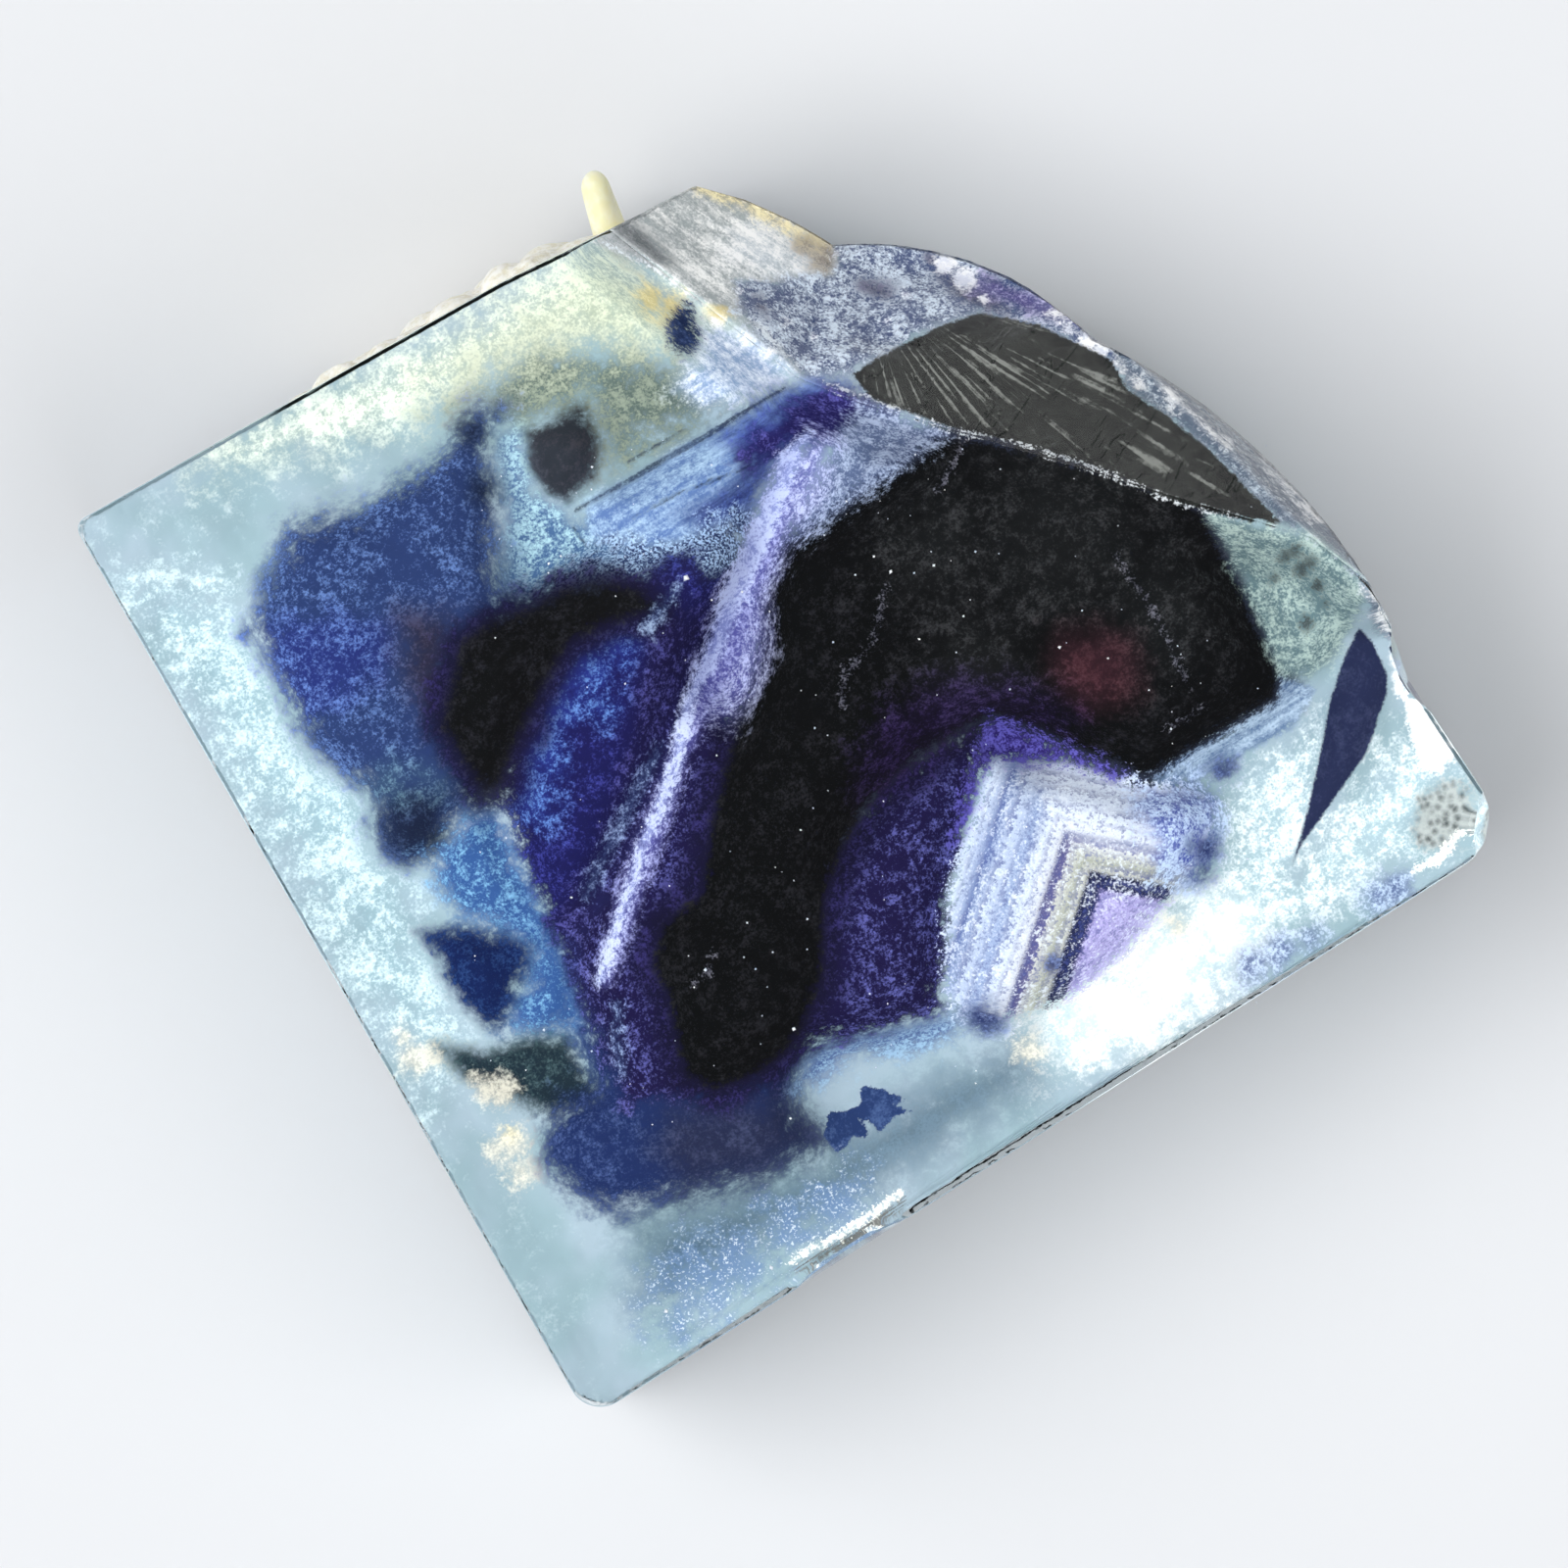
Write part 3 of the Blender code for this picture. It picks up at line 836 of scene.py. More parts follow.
INNER_COATS = (
    Coat("chevron_violet", (40, 30, 92), (98, 92, 180), 0.31, 0.2, Mingle.EVEN, edge=Edge.FEATHERY),
    Coat("chevron_blue", (52, 72, 164), (200, 222, 252), 0.7, 0.5, Mingle.EVEN, strength=0.85),
    Coat("chevron_navy", (34, 44, 92), (92, 112, 168), 0.4, 0.35, strength=0.9),
    Coat("blade", (34, 40, 70), (54, 60, 90), 0.04, 0.05, edge=Edge.CRISP, texture=Texture.CLOUD),
    Coat("brown", (26, 24, 34), (48, 44, 56), 0.22, 0.32, texture=Texture.CLOUD, strength=0.95),
    Coat("grey_wedge", (82, 96, 132), (170, 184, 210), 0.35, 0.35, Mingle.EVEN, edge=Edge.FEATHERY,
        strength=0.95),
    Coat("lilac_veil", (90, 90, 158), (204, 210, 244), 0.4, 0.5, Mingle.EVEN, strength=0.9),
    Coat("side_streak", (66, 82, 128), (164, 186, 216), 0.27, 0.3, edge=Edge.FEATHERY, strength=0.75),
    Coat("streak_body", (96, 96, 168), (176, 180, 230), 0.16, 0.3, Mingle.EVEN, edge=Edge.FEATHERY,
        strength=0.85),
    Coat("streak", (150, 160, 214), (208, 218, 249), 0.14, 0.16, Mingle.PALE, edge=Edge.FEATHERY,
        strength=0.95),
    # painted highlight: the white glare where the broken right rim catches the light
    Coat("hot", (240, 244, 244), (255, 255, 255), 0.16, 0.12, Mingle.PALE, edge=Edge.FEATHERY,
        texture=Texture.CLOUD),
    Coat("bubbles", (50, 54, 54), (172, 178, 176), 0.3, 0.3, texture=Texture.CELLS, strength=0.95),
    Coat("chip_dark", (86, 84, 78), (120, 118, 110), 0.13, 0.12, Mingle.EVEN, edge=Edge.CRISP,
        texture=Texture.CLOUD, strength=0.9),
    Coat("chip_light", (206, 214, 212), (250, 252, 246), 0.14, 0.08, Mingle.PALE, edge=Edge.CRISP,
        strength=0.95),
    Coat("under_striped", (156, 164, 166), (255, 255, 253), 0.07, 0.08, Mingle.EVEN, edge=Edge.CRISP,
        texture=Texture.STRIPES),
    Coat("striped_light", (196, 206, 214), (255, 255, 255), 0.51, 0.7, Mingle.PALE,
        texture=Texture.STRIPES, strength=0.85),
    Coat("striped_dark", (60, 66, 72), (120, 126, 130), 0.3, 0.4, Mingle.EVEN, texture=Texture.STRIPES,
        strength=0.8),
    Coat("striped_cream", (196, 180, 124), (250, 238, 190), 0.3, 0.25, Mingle.PALE, texture=Texture.CLOUD,
        strength=0.9),
    Coat("striped_brown", (112, 96, 80), (176, 164, 140), 0.3, 0.3, Mingle.EVEN, texture=Texture.CLOUD,
        strength=0.8),
    Coat("under_scoop", (70, 84, 122), (216, 228, 240), 0.3, 0.2, Mingle.EVEN),
    Coat("scoop_dark", (48, 42, 74), (86, 78, 120), 0.34, 0.3, texture=Texture.CLOUD, strength=0.85),
    Coat("scoop_lilac", (84, 78, 134), (190, 186, 226), 0.3, 0.3, strength=0.85),
    # painted highlights: white glints of the scoop facet, painted onto the heart below it
    Coat("scoop_sparks", (230, 234, 246), (255, 255, 255), 0.13, 0.13, Mingle.EVEN, edge=Edge.FEATHERY,
        texture=Texture.CLOUD, strength=0.85),
    Coat("under_wall", (84, 98, 118), (186, 200, 212), 0.21, 0.15, edge=Edge.FEATHERY),
    # painted highlight: white lines where the broken wall's edges catch the light
    Coat("wall_light", (206, 214, 224), (255, 255, 255), 0.3, 0.25, Mingle.PALE, texture=Texture.CLOUD,
        strength=0.9),
    Coat("under_facet", (22, 23, 23), (50, 52, 50), 0.05, 0.05, Mingle.EVEN, edge=Edge.CRISP,
        texture=Texture.CLOUD),
    Coat("facet_lines", (48, 50, 48), (178, 182, 176), 0.3, 0.3, Mingle.SPARSE, texture=Texture.HACKLE,
        strength=0.5),
    # painted highlight: the pale line where the sharp fracture edges catch the light
    Coat("crest", (160, 168, 176), (232, 238, 242), 0.1, 0.04, Mingle.EVEN, edge=Edge.CRISP,
        texture=Texture.CLOUD, strength=0.7),
)


class ZonedColour:
    """The heart's colour: coat over coat, from the rim inwards."""

    aqua = rgb(142, 166, 174)
    mist = rgb(160, 178, 190)
    pale_haze = rgb(182, 201, 207)

    def __init__(self, name: str, reaches: Callable[[str, float], bool], plain_below: float) -> None:
        """Start the node tree and the noises that every coat shares.

        Args:
            name: the material's name.
            reaches: whether a stored distance comes above a given level where this is used.
            plain_below: the height that the sides' plain colour reaches up to.
        """
        self.plain_below = plain_below
        graph = self.graph = Graph(name)
        self.reaches = reaches
        self.packs: dict[int, Value] = {}
        self.shares: dict[tuple[Texture, Mingle], Value] = {}
        self.patches = graph.noise(3.2 * MM, detail=2.0)
        self.flock = graph.noise(1.1 * MM, detail=3.0, roughness=0.62, warp=0.15)
        self.feather = graph.noise(0.3 * MM, detail=3.0, roughness=0.75)
        self.grain = graph.noise(0.09 * MM, detail=1.0, roughness=0.75)
        fur = self.feather * 0.6 + self.grain * 0.42 + self.flock * 0.42
        self.edges = {
            edge: self.flock * edge.value[0] + self.feather * edge.value[1] + self.grain * edge.value[2]
            for edge in Edge
        }
        fibres = graph.noise(1.0, 4.0, 0.7, vector=graph.moved((280.0, 2600.0, 900.0)))
        stripes = graph.noise(
            1.0, 5.0, 0.72, vector=graph.moved((260.0, 2400.0, 900.0), math.radians(-66.0))
        )
        fan = graph.node("ShaderNodeCombineXYZ", {}, {
            0: self.field("fan_angle") * 38.0, 1: self.field("fan_radius") * 0.3, 2: 0.0,
        })
        ridges = graph.noise(1.0, 1.0, 0.5, vector=fan)
        self.textures = {
            Texture.CLOUD: self.flock * 0.6 + self.feather * 0.45 + self.grain * 0.3,
            Texture.FUR: fur,
            Texture.SPECKLE: self.grain * 0.9 + self.feather * 0.4,
            Texture.FIBRES: fibres * 0.45 + fur * 0.5,
            Texture.STRIPES: stripes * 0.42 + fur * 0.55,
            Texture.HACKLE: ridges * 1.0 + self.feather * 0.35,
            Texture.CELLS: graph.cells(0.24 * MM) * 1.2 + self.grain * 0.1,
        }

    def field(self, name: str) -> Value:
        """A stored distance; each of the mesh's vectors holds three of them."""
        pack, place = divmod(FIELDS.index(name), 3)
        if pack not in self.packs:
            read = self.graph.node(
                "ShaderNodeAttribute", {"attribute_name": f"fields_{pack}"}, {}, output="Vector"
            )
            self.packs[pack] = self.graph.node("ShaderNodeSeparateXYZ", {}, {0: read})
        return self.packs[pack].part(place)

    def lay(self, under: Value, coat: Coat) -> Value:
        """Lay one coat.

        Args:
            under: the colour so far.
            coat: what is laid over it.

        Returns:
            The new colour.
        """
        if not self.reaches(coat.field, -(2.0 * coat.reach + coat.soft)):
            return under
        edge = self.field(coat.field).times_plus(1.0 / coat.reach, self.edges[coat.edge])
        width = coat.soft / coat.reach
        mask = edge.step(-width, width)
        if coat.strength < 1.0:
            mask = mask * coat.strength
        key = (coat.texture, coat.mingle)
        if key not in self.shares:
            self.shares[key] = self.textures[coat.texture].step(*coat.mingle.value)
        paint = self.graph.mix(self.shares[key], rgb(*coat.dark), rgb(*coat.light))
        return self.graph.mix(mask, under, paint)

    def chevrons(self, under: Value) -> Value:
        """Nested chevrons: a colour for each distance in from the outermost one."""
        if not self.reaches("chevrons", -1.0):
            return under
        graph = self.graph
        level = self.field("chevron_level") + self.feather * 0.16 + self.grain * 0.08
        fine_lines = graph.math("SINE", level * 11.0 + self.flock * 1.5).step(0.1, 0.9)
        paint = (level / 9.0).ramp([
            (0.0, rgb(150, 166, 202)), (0.07, rgb(210, 224, 242)), (0.14, rgb(118, 138, 184)),
            (0.22, rgb(190, 204, 228)), (0.3, rgb(150, 168, 204)), (0.38, rgb(212, 222, 238)),
            (0.44, rgb(206, 210, 220)), (0.458, rgb(86, 84, 124)), (0.49, rgb(102, 100, 144)),
            (0.51, rgb(206, 208, 200)), (0.565, rgb(164, 168, 154)), (0.6, rgb(196, 198, 188)),
            (0.617, rgb(24, 28, 60)), (0.675, rgb(34, 38, 80)), (0.7, rgb(176, 168, 222)),
            (0.95, rgb(196, 190, 236)),
        ])
        flat_arm = self.field("chevron_side").step(-0.4, 0.6)
        outer = level.step(5.2, 3.6)
        paint = graph.mix(flat_arm * outer * 0.68, paint, rgb(230, 238, 250))
        paint = graph.mix(fine_lines * (self.flock.step(-0.9, 0.6) * 0.45), paint, rgb(78, 88, 146))
        mottle = self.feather * 0.75 + self.grain * 0.5 + self.flock * 0.2
        paint = graph.mix(mottle.step(0.0, -0.8) * 0.55, paint, rgb(72, 84, 148))
        paint = graph.mix(mottle.step(0.0, 0.9) * 0.7, paint, rgb(236, 244, 255))
        mask = self.field("chevrons") + self.feather * 0.3 + self.grain * 0.2
        return graph.mix(mask.step(-0.15, 0.15), under, paint)

    def build(self) -> bpy.types.Material:
        """Lay every coat.

        Returns:
            The heart's material.
        """
        graph = self.graph
        colour = graph.mix(self.patches.step(-0.8, 0.8), self.aqua, self.mist)
        haze = (self.flock * 0.5 + self.feather * 0.5 + self.grain * 0.2).step(0.0, 1.4)
        plain = colour = graph.mix(haze, colour, self.pale_haze)
        for coat in COATS:
            colour = self.lay(colour, coat)
        colour = self.chevrons(colour)
        for coat in INNER_COATS:
            colour = self.lay(colour, coat)
        height = graph.node("ShaderNodeSeparateXYZ", {}, {0: graph.place}).part(2)
        ragged = height + self.flock * (0.5 * MM) + self.feather * (0.3 * MM)
        colour = graph.mix(ragged.step(self.plain_below, self.plain_below - 2.5 * MM), colour, plain)
        graph.principled({"Base Color": colour, "Roughness": 0.8, "Specular IOR Level": 0.0})
        return graph.material


@dataclass(frozen=True)
class CrustFinish:
    """Matte cream-white grains, mottled by a fine grain and by wider warm patches."""

    def build(self) -> bpy.types.Material:
        """Make the material."""
        graph = Graph("cream_crust")
        grain = graph.noise(0.3 * MM, detail=3.0, roughness=0.6)
        patch = graph.noise(1.6 * MM, detail=3.0)
        colour = graph.mix(grain.step(-0.9, 0.5), rgb(236, 230, 208), rgb(255, 253, 244))
        colour = graph.mix(patch.step(0.2, 1.1) * 0.4, colour, rgb(246, 238, 204))
        graph.principled({
            "Base Color": colour, "Roughness": 0.72, "Subsurface Weight": 0.15,
            "Subsurface Radius": (0.0006, 0.0005, 0.0004), "Subsurface Scale": 0.5,
            "Normal": graph.bump(grain, 0.04 * MM, 0.4),
        })
        return graph.material


@dataclass(frozen=True)
class SpikeFinish:
    """Waxy pale yellow."""

    def build(self) -> bpy.types.Material:
        """Make the material."""
        graph = Graph("waxy_spike")
        grain = graph.noise(0.5 * MM, detail=4.0)
        colour = graph.mix(grain.step(-0.8, 0.9), rgb(250, 244, 200), rgb(255, 253, 226))
        graph.principled({
            "Base Color": colour, "Roughness": 0.42, "Subsurface Weight": 0.25,
            "Subsurface Radius": (0.001, 0.0008, 0.0004), "Subsurface Scale": 0.5,
            "Normal": graph.bump(grain, 0.02 * MM, 0.4),
        })
        return graph.material


@dataclass(frozen=True)
class FleckFinish:
    """Bright white specks."""

    def build(self) -> bpy.types.Material:
        """Make the material."""
        graph = Graph("white_flecks")
        grain = graph.noise(0.3 * MM, detail=2.0)
        colour = graph.mix(grain.step(-0.7, 0.7), rgb(206, 216, 238), rgb(255, 255, 255))
        graph.principled({"Base Color": colour, "Roughness": 0.5})
        return graph.material


# Pieces


def finish_piece(
    piece: bpy.types.Object, material: bpy.types.Material | None, slot: str, *nodes: str
) -> None:
    """Dress a piece, tie it to the one body, and hide the CAD parts that it stands for."""
    if material:
        piece.data.materials.append(material)
    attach(piece, "root")
    if nodes:
        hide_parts(*nodes)
    LOG.info("%s: %d faces", piece.name, len(piece.data.polygons))


@dataclass
class CrystalBody:
    """The clear crystal, from its front face down its walls to its base."""

    form: CrystalForm
    front_shares = (0.001, 0.2, 0.4, 0.56, 0.68, 0.77, 0.84, 0.89, 0.92, 0.945, 0.96, 0.972, 0.984, 0.993)
    base_shares = (1.0, 0.985, 0.96, 0.93, 0.88, 0.8, 0.6, 0.3, 0.001)
    rim_steps: int = 26
    wall_steps: int = 24
    swell: float = 0.12 * MM
    swell_size: float = 3.0 * MM
    calm: float = 0.3 * MM
    sharp_angle: float = math.radians(24.0)

    def rows(self) -> tuple[Array, Array]:
        """Rows of the closed surface, and how far each point lies on a break.

        The front face runs from its middle to the inner ring, the breaks from there to the outer
        ring, the walls down to the base and the base back to its middle.
        """
        form = self.form
        outer, inner, broken = form.rings()
        count = len(outer)
        centre = inner.mean(axis=0)
        on_break = np.where(broken, 1.0, 0.0)
        plain = np.zeros(count)
        levels = []
        shares = []
        for share in self.front_shares:
            levels.append(np.column_stack([centre + (inner - centre) * share, plain + form.top]))
            shares.append(plain)
        rim_height = np.where(broken, form.front_height(outer), form.top - form.wear)
        for share in np.arange(self.rim_steps + 1) / self.rim_steps:
            plan = inner + (outer - inner) * share
            bevel = form.top - form.wear * (1.0 - math.sqrt(max(0.0, 1.0 - share * share)))
            height = np.where(broken, form.front_height(plan), bevel) if share > 0.0 else plain + form.top
            levels.append(np.column_stack([plan, height]))
            shares.append(on_break)
        for share in np.arange(1, self.wall_steps + 1) / self.wall_steps:
            height = form.wear + (rim_height - form.wear) * (1.0 - share)
            levels.append(np.column_stack([outer, height]))
            shares.append(on_break)
        foot = outer + form.wear * form.inwards(outer)
        for share in self.base_shares:
            levels.append(np.column_stack([foot * share, plain]))
            shares.append(plain)
        return np.array(levels), np.array(shares)

    def build(self) -> bpy.types.Object:
        """Make the closed mesh, carve its hollows and roughen its broken walls.

        Returns:
            The crystal.
        """
        form = self.form
        levels, shares = self.rows()
        rows, columns = levels.shape[:2]
        points = levels.reshape(-1, 3)
        for hollow in form.hollows:
            points = hollow.carve(points, form.middle)
        share = shares.reshape(-1)
        wall = (share > 0.5) & (points[:, 2] > self.calm) & (points[:, 2] < form.top - self.calm)
        swell = self.swell * cloud(points, self.swell_size, 21, octaves=4) * wall
        reach = np.linalg.norm(points[:, :2], axis=1)
        points[:, :2] *= (1.0 - (np.abs(swell) / np.maximum(reach, MM)))[:, None]
        faces = grid_faces(rows, columns, closed=True)
        piece = make_piece("fluorite_clear_body", points, faces)
        add_attribute(piece, "break_share", share)
        weld(piece)
        piece.data.shade_smooth()
        piece.data.set_sharp_from_angle(angle=self.sharp_angle)
        piece.visible_shadow = False
        finish_piece(piece, ClearFluorite().build(), "fluorite", "fluorite_crystal")
        return piece


class Patch:
    """A marked place on the heart; its distance is positive inside it."""

    def distance(self, plan: Array) -> Array:
        """Signed distance of plan points, in metres."""
        raise NotImplementedError


@dataclass(frozen=True)
class Area(Patch):
    """A patch inside an outline of picture points."""

    outline: tuple[Point, ...]

    def distance(self, plan: Array) -> Array:
        """Signed distance to the outline."""
        return signed_distance(plan, PICTURE.plan(*self.outline))


@dataclass(frozen=True)
class Spots(Patch):
    """Round patches, each a picture point and a radius in pixels."""

    spots: tuple[tuple[float, float, float], ...]

    def distance(self, plan: Array) -> Array:
        """Depth inside the nearest spot."""
        depth = np.full(len(plan), -np.inf)
        for x, y, radius in self.spots:
            away = np.linalg.norm(plan - PICTURE.plan((x, y))[0], axis=1)
            depth = np.maximum(depth, radius * PICTURE.pixel - away)
        return depth


@dataclass(frozen=True)
class Lines(Patch):
    """Lines through picture points, each with its half width in pixels, thinner at the ends."""

    paths: tuple[tuple[float, tuple[Point, ...]], ...]

    def distance(self, plan: Array) -> Array:
        """Depth inside the nearest line."""
        depth = np.full(len(plan), -np.inf)
        for half_width, path in self.paths:
            away, station = path_distance(plan, PICTURE.plan(*path))
            width = half_width * PICTURE.pixel * (0.6 + 0.4 * np.sin(station * math.pi))
            depth = np.maximum(depth, width - away)
        return depth


PATCHES: dict[str, Patch] = {
    "upper_band": Area(((200, 470), (300, 420), (430, 350), (560, 270), (620, 240), (700, 305),
        (760, 325), (812, 378), (760, 405), (690, 360), (600, 345), (500, 380), (430, 425), (360, 440),
        (260, 460))),
    "left_frost": Area(((120, 590), (200, 600), (252, 640), (280, 690), (300, 750), (372, 810),
        (376, 870), (410, 890), (428, 950), (455, 1010), (480, 1060), (440, 1110), (390, 1060),
        (320, 930), (240, 800), (160, 670))),
    "right_frost": Area(((1030, 1040), (1080, 1000), (1160, 960), (1200, 915), (1240, 900), (1250, 800),
        (1300, 770), (1345, 750), (1345, 830), (1320, 890), (1400, 800), (1440, 770), (1470, 800),
        (1450, 870), (1380, 910), (1300, 960), (1240, 1010), (1170, 1045), (1100, 1090), (1060, 1100))),
    "glare": Spots(((1180, 985, 60), (1110, 1030, 50), (1250, 950, 40), (1150, 1030, 40))),
    "dusk": Area(((640, 1250), (740, 1215), (840, 1180), (950, 1110), (1050, 1060), (1065, 1100),
        (900, 1210), (760, 1290), (690, 1350), (650, 1330))),
    "olive": Area(((440, 425), (489, 385), (540, 350), (620, 350), (690, 365), (765, 400), (740, 425),
        (640, 470), (610, 440), (590, 405), (530, 430), (500, 415), (484, 400))),
    "cream": Area(((420, 385), (500, 335), (600, 280), (650, 290), (680, 340), (620, 350), (540, 360),
        (470, 390))),
    "yellow": Spots(((664, 304, 14), (684, 312, 14), (735, 318, 13), (520, 1160, 6))),
    "wedge": Area(((716, 332), (752, 335), (806, 368), (814, 386), (780, 398), (720, 415), (690, 395),
        (712, 360))),
    "aqua_feather": Area(((498, 430), (530, 440), (545, 500), (590, 520), (680, 545), (660, 580),
        (590, 595), (545, 620), (500, 610), (512, 540), (505, 480))),
    "banded": Area(((594, 516), (680, 466), (765, 416), (830, 382), (868, 395), (850, 440), (790, 468),
        (762, 525), (700, 560), (640, 565), (600, 545))),
    "banded_blue": Area(((735, 440), (765, 418), (830, 382), (880, 395), (870, 440), (800, 470),
        (765, 520), (720, 545), (700, 530), (760, 480))),
    "deep_blue": Area(((745, 470), (770, 440), (800, 418), (840, 394), (900, 405), (925, 425), (880, 440),
        (845, 450), (800, 455), (770, 482))),
    "lines": Lines(((2.6, ((586, 520), (636, 492), (680, 466), (724, 441), (765, 415), (800, 396))), (1.6,
        ((645, 528), (690, 503), (739, 485), (775, 470))), (1.5, ((640, 470), (700, 436))), (1.4,
        ((583, 535), (600, 560))))),
    "blue_blob": Spots(((698, 342, 16), (696, 328, 14), (701, 316, 8))),
    "speckled": Area(((600, 560), (680, 545), (760, 525), (765, 560), (745, 610), (715, 640), (650, 640),
        (600, 610), (540, 625), (520, 605), (560, 590))),
    "navy": Area(((488, 407), (500, 418), (511, 413), (501, 440), (501, 480), (511, 513), (505, 546),
        (520, 600), (560, 610), (520, 640), (540, 700), (520, 770), (498, 808), (478, 821), (455, 854),
        (431, 877), (412, 887), (388, 877), (372, 844), (378, 821), (355, 798), (332, 781), (309, 762),
        (299, 732), (286, 698), (266, 658), (247, 645), (259, 615), (266, 586), (279, 562), (286, 534),
        (332, 523), (372, 515), (398, 489), (432, 474), (448, 458), (475, 426))),
    "navy_fringe": Area(((252, 640), (330, 630), (400, 640), (390, 690), (340, 720), (300, 735),
        (275, 680))),
    "maroon": Area(((405, 625), (455, 625), (466, 655), (458, 735), (430, 725), (408, 690))),
    "navy_dark": Spots(((418, 838, 34), (440, 855, 20), (480, 440, 16), (492, 500, 14))),
    "teal": Spots(((395, 795, 20), (430, 790, 14), (450, 800, 12))),
    "cyan": Area(((492, 812), (510, 825), (540, 889), (562, 930), (580, 960), (596, 1000), (606, 1050),
        (612, 1100), (600, 1110), (588, 1060), (505, 1056), (520, 1020), (540, 975), (500, 945),
        (465, 940), (445, 905), (440, 880), (466, 845))),
    "blob": Area(((421, 950), (465, 946), (515, 954), (542, 966), (534, 1002), (522, 1030), (511, 1053),
        (492, 1048), (465, 1025), (454, 1002), (438, 971))),
    "green_dark": Area(((440, 1066), (496, 1072), (535, 1060), (575, 1058), (600, 1090), (625, 1130),
        (560, 1142), (500, 1118), (470, 1100))),
    "warm_patches": Spots(((422, 1080, 16), (496, 1113, 10), (512, 1120, 9), (526, 1172, 17),
        (531, 1196, 15), (505, 1176, 10), (410, 1060, 10), (1050, 1075, 14), (1205, 945, 12))),
    "inner_ground": Area(((520, 640), (700, 560), (760, 600), (760, 800), (680, 1000), (640, 1100),
        (600, 1060), (560, 950), (510, 800))),
    "royal": Area(((556, 660), (600, 640), (640, 600), (700, 580), (730, 600), (715, 660), (695, 710),
        (672, 790), (640, 850), (612, 900), (590, 940), (566, 945), (539, 889), (510, 812), (530, 740))),
    "bright_blue": Spots(((600, 685, 26), (570, 720, 24), (630, 660, 20), (555, 775, 22), (548, 820, 18),
        (585, 700, 20), (612, 720, 14))),
    "shadow": Area(((660, 640), (715, 620), (745, 600), (728, 650), (700, 705), (680, 790), (650, 850),
        (620, 900), (590, 960), (565, 940), (600, 880), (630, 800), (650, 720))),
    "slate": Area(((565, 1128), (553, 1158), (549, 1185), (572, 1216), (599, 1231), (630, 1239),
        (668, 1235), (691, 1224), (733, 1216), (783, 1201), (821, 1185), (840, 1166), (813, 1125),
        (830, 1060), (640, 1000), (590, 1060), (600, 1110))),
    "slate_warm": Area(((680, 1130), (800, 1120), (840, 1165), (780, 1200), (700, 1215), (670, 1180))),
    "blue_fringe": Area(((812, 1080), (860, 1050), (920, 1040), (975, 1035), (985, 1060), (930, 1075),
        (870, 1085), (835, 1110), (815, 1110))),
    "violet": Area(((870, 850), (905, 800), (949, 768), (1000, 735), (1010, 770), (990, 830), (970, 920),
        (962, 1035), (900, 1055), (830, 1070), (780, 1100), (700, 1125), (640, 1130), (610, 1060),
        (590, 960), (620, 900), (680, 780), (700, 710), (740, 720), (800, 900))),
    "arrowheads": Area(((878, 1109), (901, 1113), (926, 1124), (912, 1129), (931, 1136), (912, 1141),
        (909, 1147), (897, 1158), (892, 1148), (875, 1143), (888, 1158), (882, 1164), (870, 1160),
        (866, 1170), (855, 1179), (848, 1170), (840, 1162), (846, 1136), (864, 1136), (880, 1128))),
    "edge_blue": Spots(((1280, 985, 20), (1310, 972, 20), (1428, 905, 22), (1410, 915, 14),
        (1340, 960, 14), (1002, 1038, 24), (1252, 786, 15), (1232, 872, 18), (1225, 895, 12))),
    "blue_specks": Spots(((700, 1310, 30), (730, 1320, 26), (760, 1290, 26), (690, 1335, 24),
        (860, 1235, 24), (800, 1260, 20))),
    "core": Area(((804, 556), (845, 530), (878, 504), (925, 470), (960, 448), (1000, 446), (1073, 464),
        (1164, 494), (1222, 514), (1256, 575), (1285, 637), (1308, 690), (1303, 712), (1256, 740),
        (1206, 772), (1173, 794), (1139, 780), (1098, 764), (1057, 743), (1015, 731), (990, 740),
        (949, 764), (907, 797), (878, 828), (858, 865), (840, 920), (838, 1000), (820, 1045), (799, 1075),
        (770, 1098), (730, 1112), (700, 1098), (690, 1060), (684, 1020), (668, 985), (676, 945),
        (716, 915), (726, 850), (738, 795), (752, 745), (772, 700), (780, 662), (780, 612))),
    "core_haze": Spots(((1080, 540, 90), (1180, 620, 60), (960, 560, 60), (1000, 680, 50))),
    "core_violet": Area(((880, 800), (900, 740), (960, 700), (1040, 700), (1100, 730), (1060, 745),
        (1015, 732), (990, 742), (950, 765), (905, 800))),
    "core_red": Spots(((1122, 682, 34), (1100, 672, 22))),
    "scratches": Lines(((1.0, ((1134, 560), (1170, 610), (1200, 670), (1214, 700))), (0.9, ((1186, 746),
        (1230, 722))), (1.2, ((704, 1004), (722, 994), (728, 970))), (1.0, ((903, 600), (893, 650),
        (862, 690))), (2.2, ((862, 682), (860, 720))), (1.2, ((957, 500), (975, 470), (985, 446))))),
    "lesser_core": Area(((499, 634), (539, 622), (572, 602), (612, 592), (650, 600), (672, 620),
        (620, 636), (579, 656), (557, 693), (539, 729), (521, 765), (510, 798), (494, 809), (472, 777),
        (450, 742), (460, 696), (470, 656))),
    "pale_band": Area(((1174, 796), (1210, 774), (1258, 745), (1308, 714), (1308, 690), (1345, 700),
        (1320, 745), (1270, 770), (1230, 790), (1195, 810))),
    "aqua_window": Area(((1226, 514), (1262, 526), (1308, 540), (1345, 545), (1380, 570), (1395, 615),
        (1368, 664), (1345, 690), (1309, 690), (1288, 640), (1258, 575))),
    "window_dots": Spots(((1334, 634, 7), (1312, 568, 5), (1330, 580, 7), (1345, 598, 6), (1338, 574, 5),
        (1352, 615, 4), (1322, 562, 5), (1300, 590, 3))),
    "chevrons": Area(((1011, 760), (1050, 775), (1098, 776), (1139, 792), (1173, 800), (1215, 800),
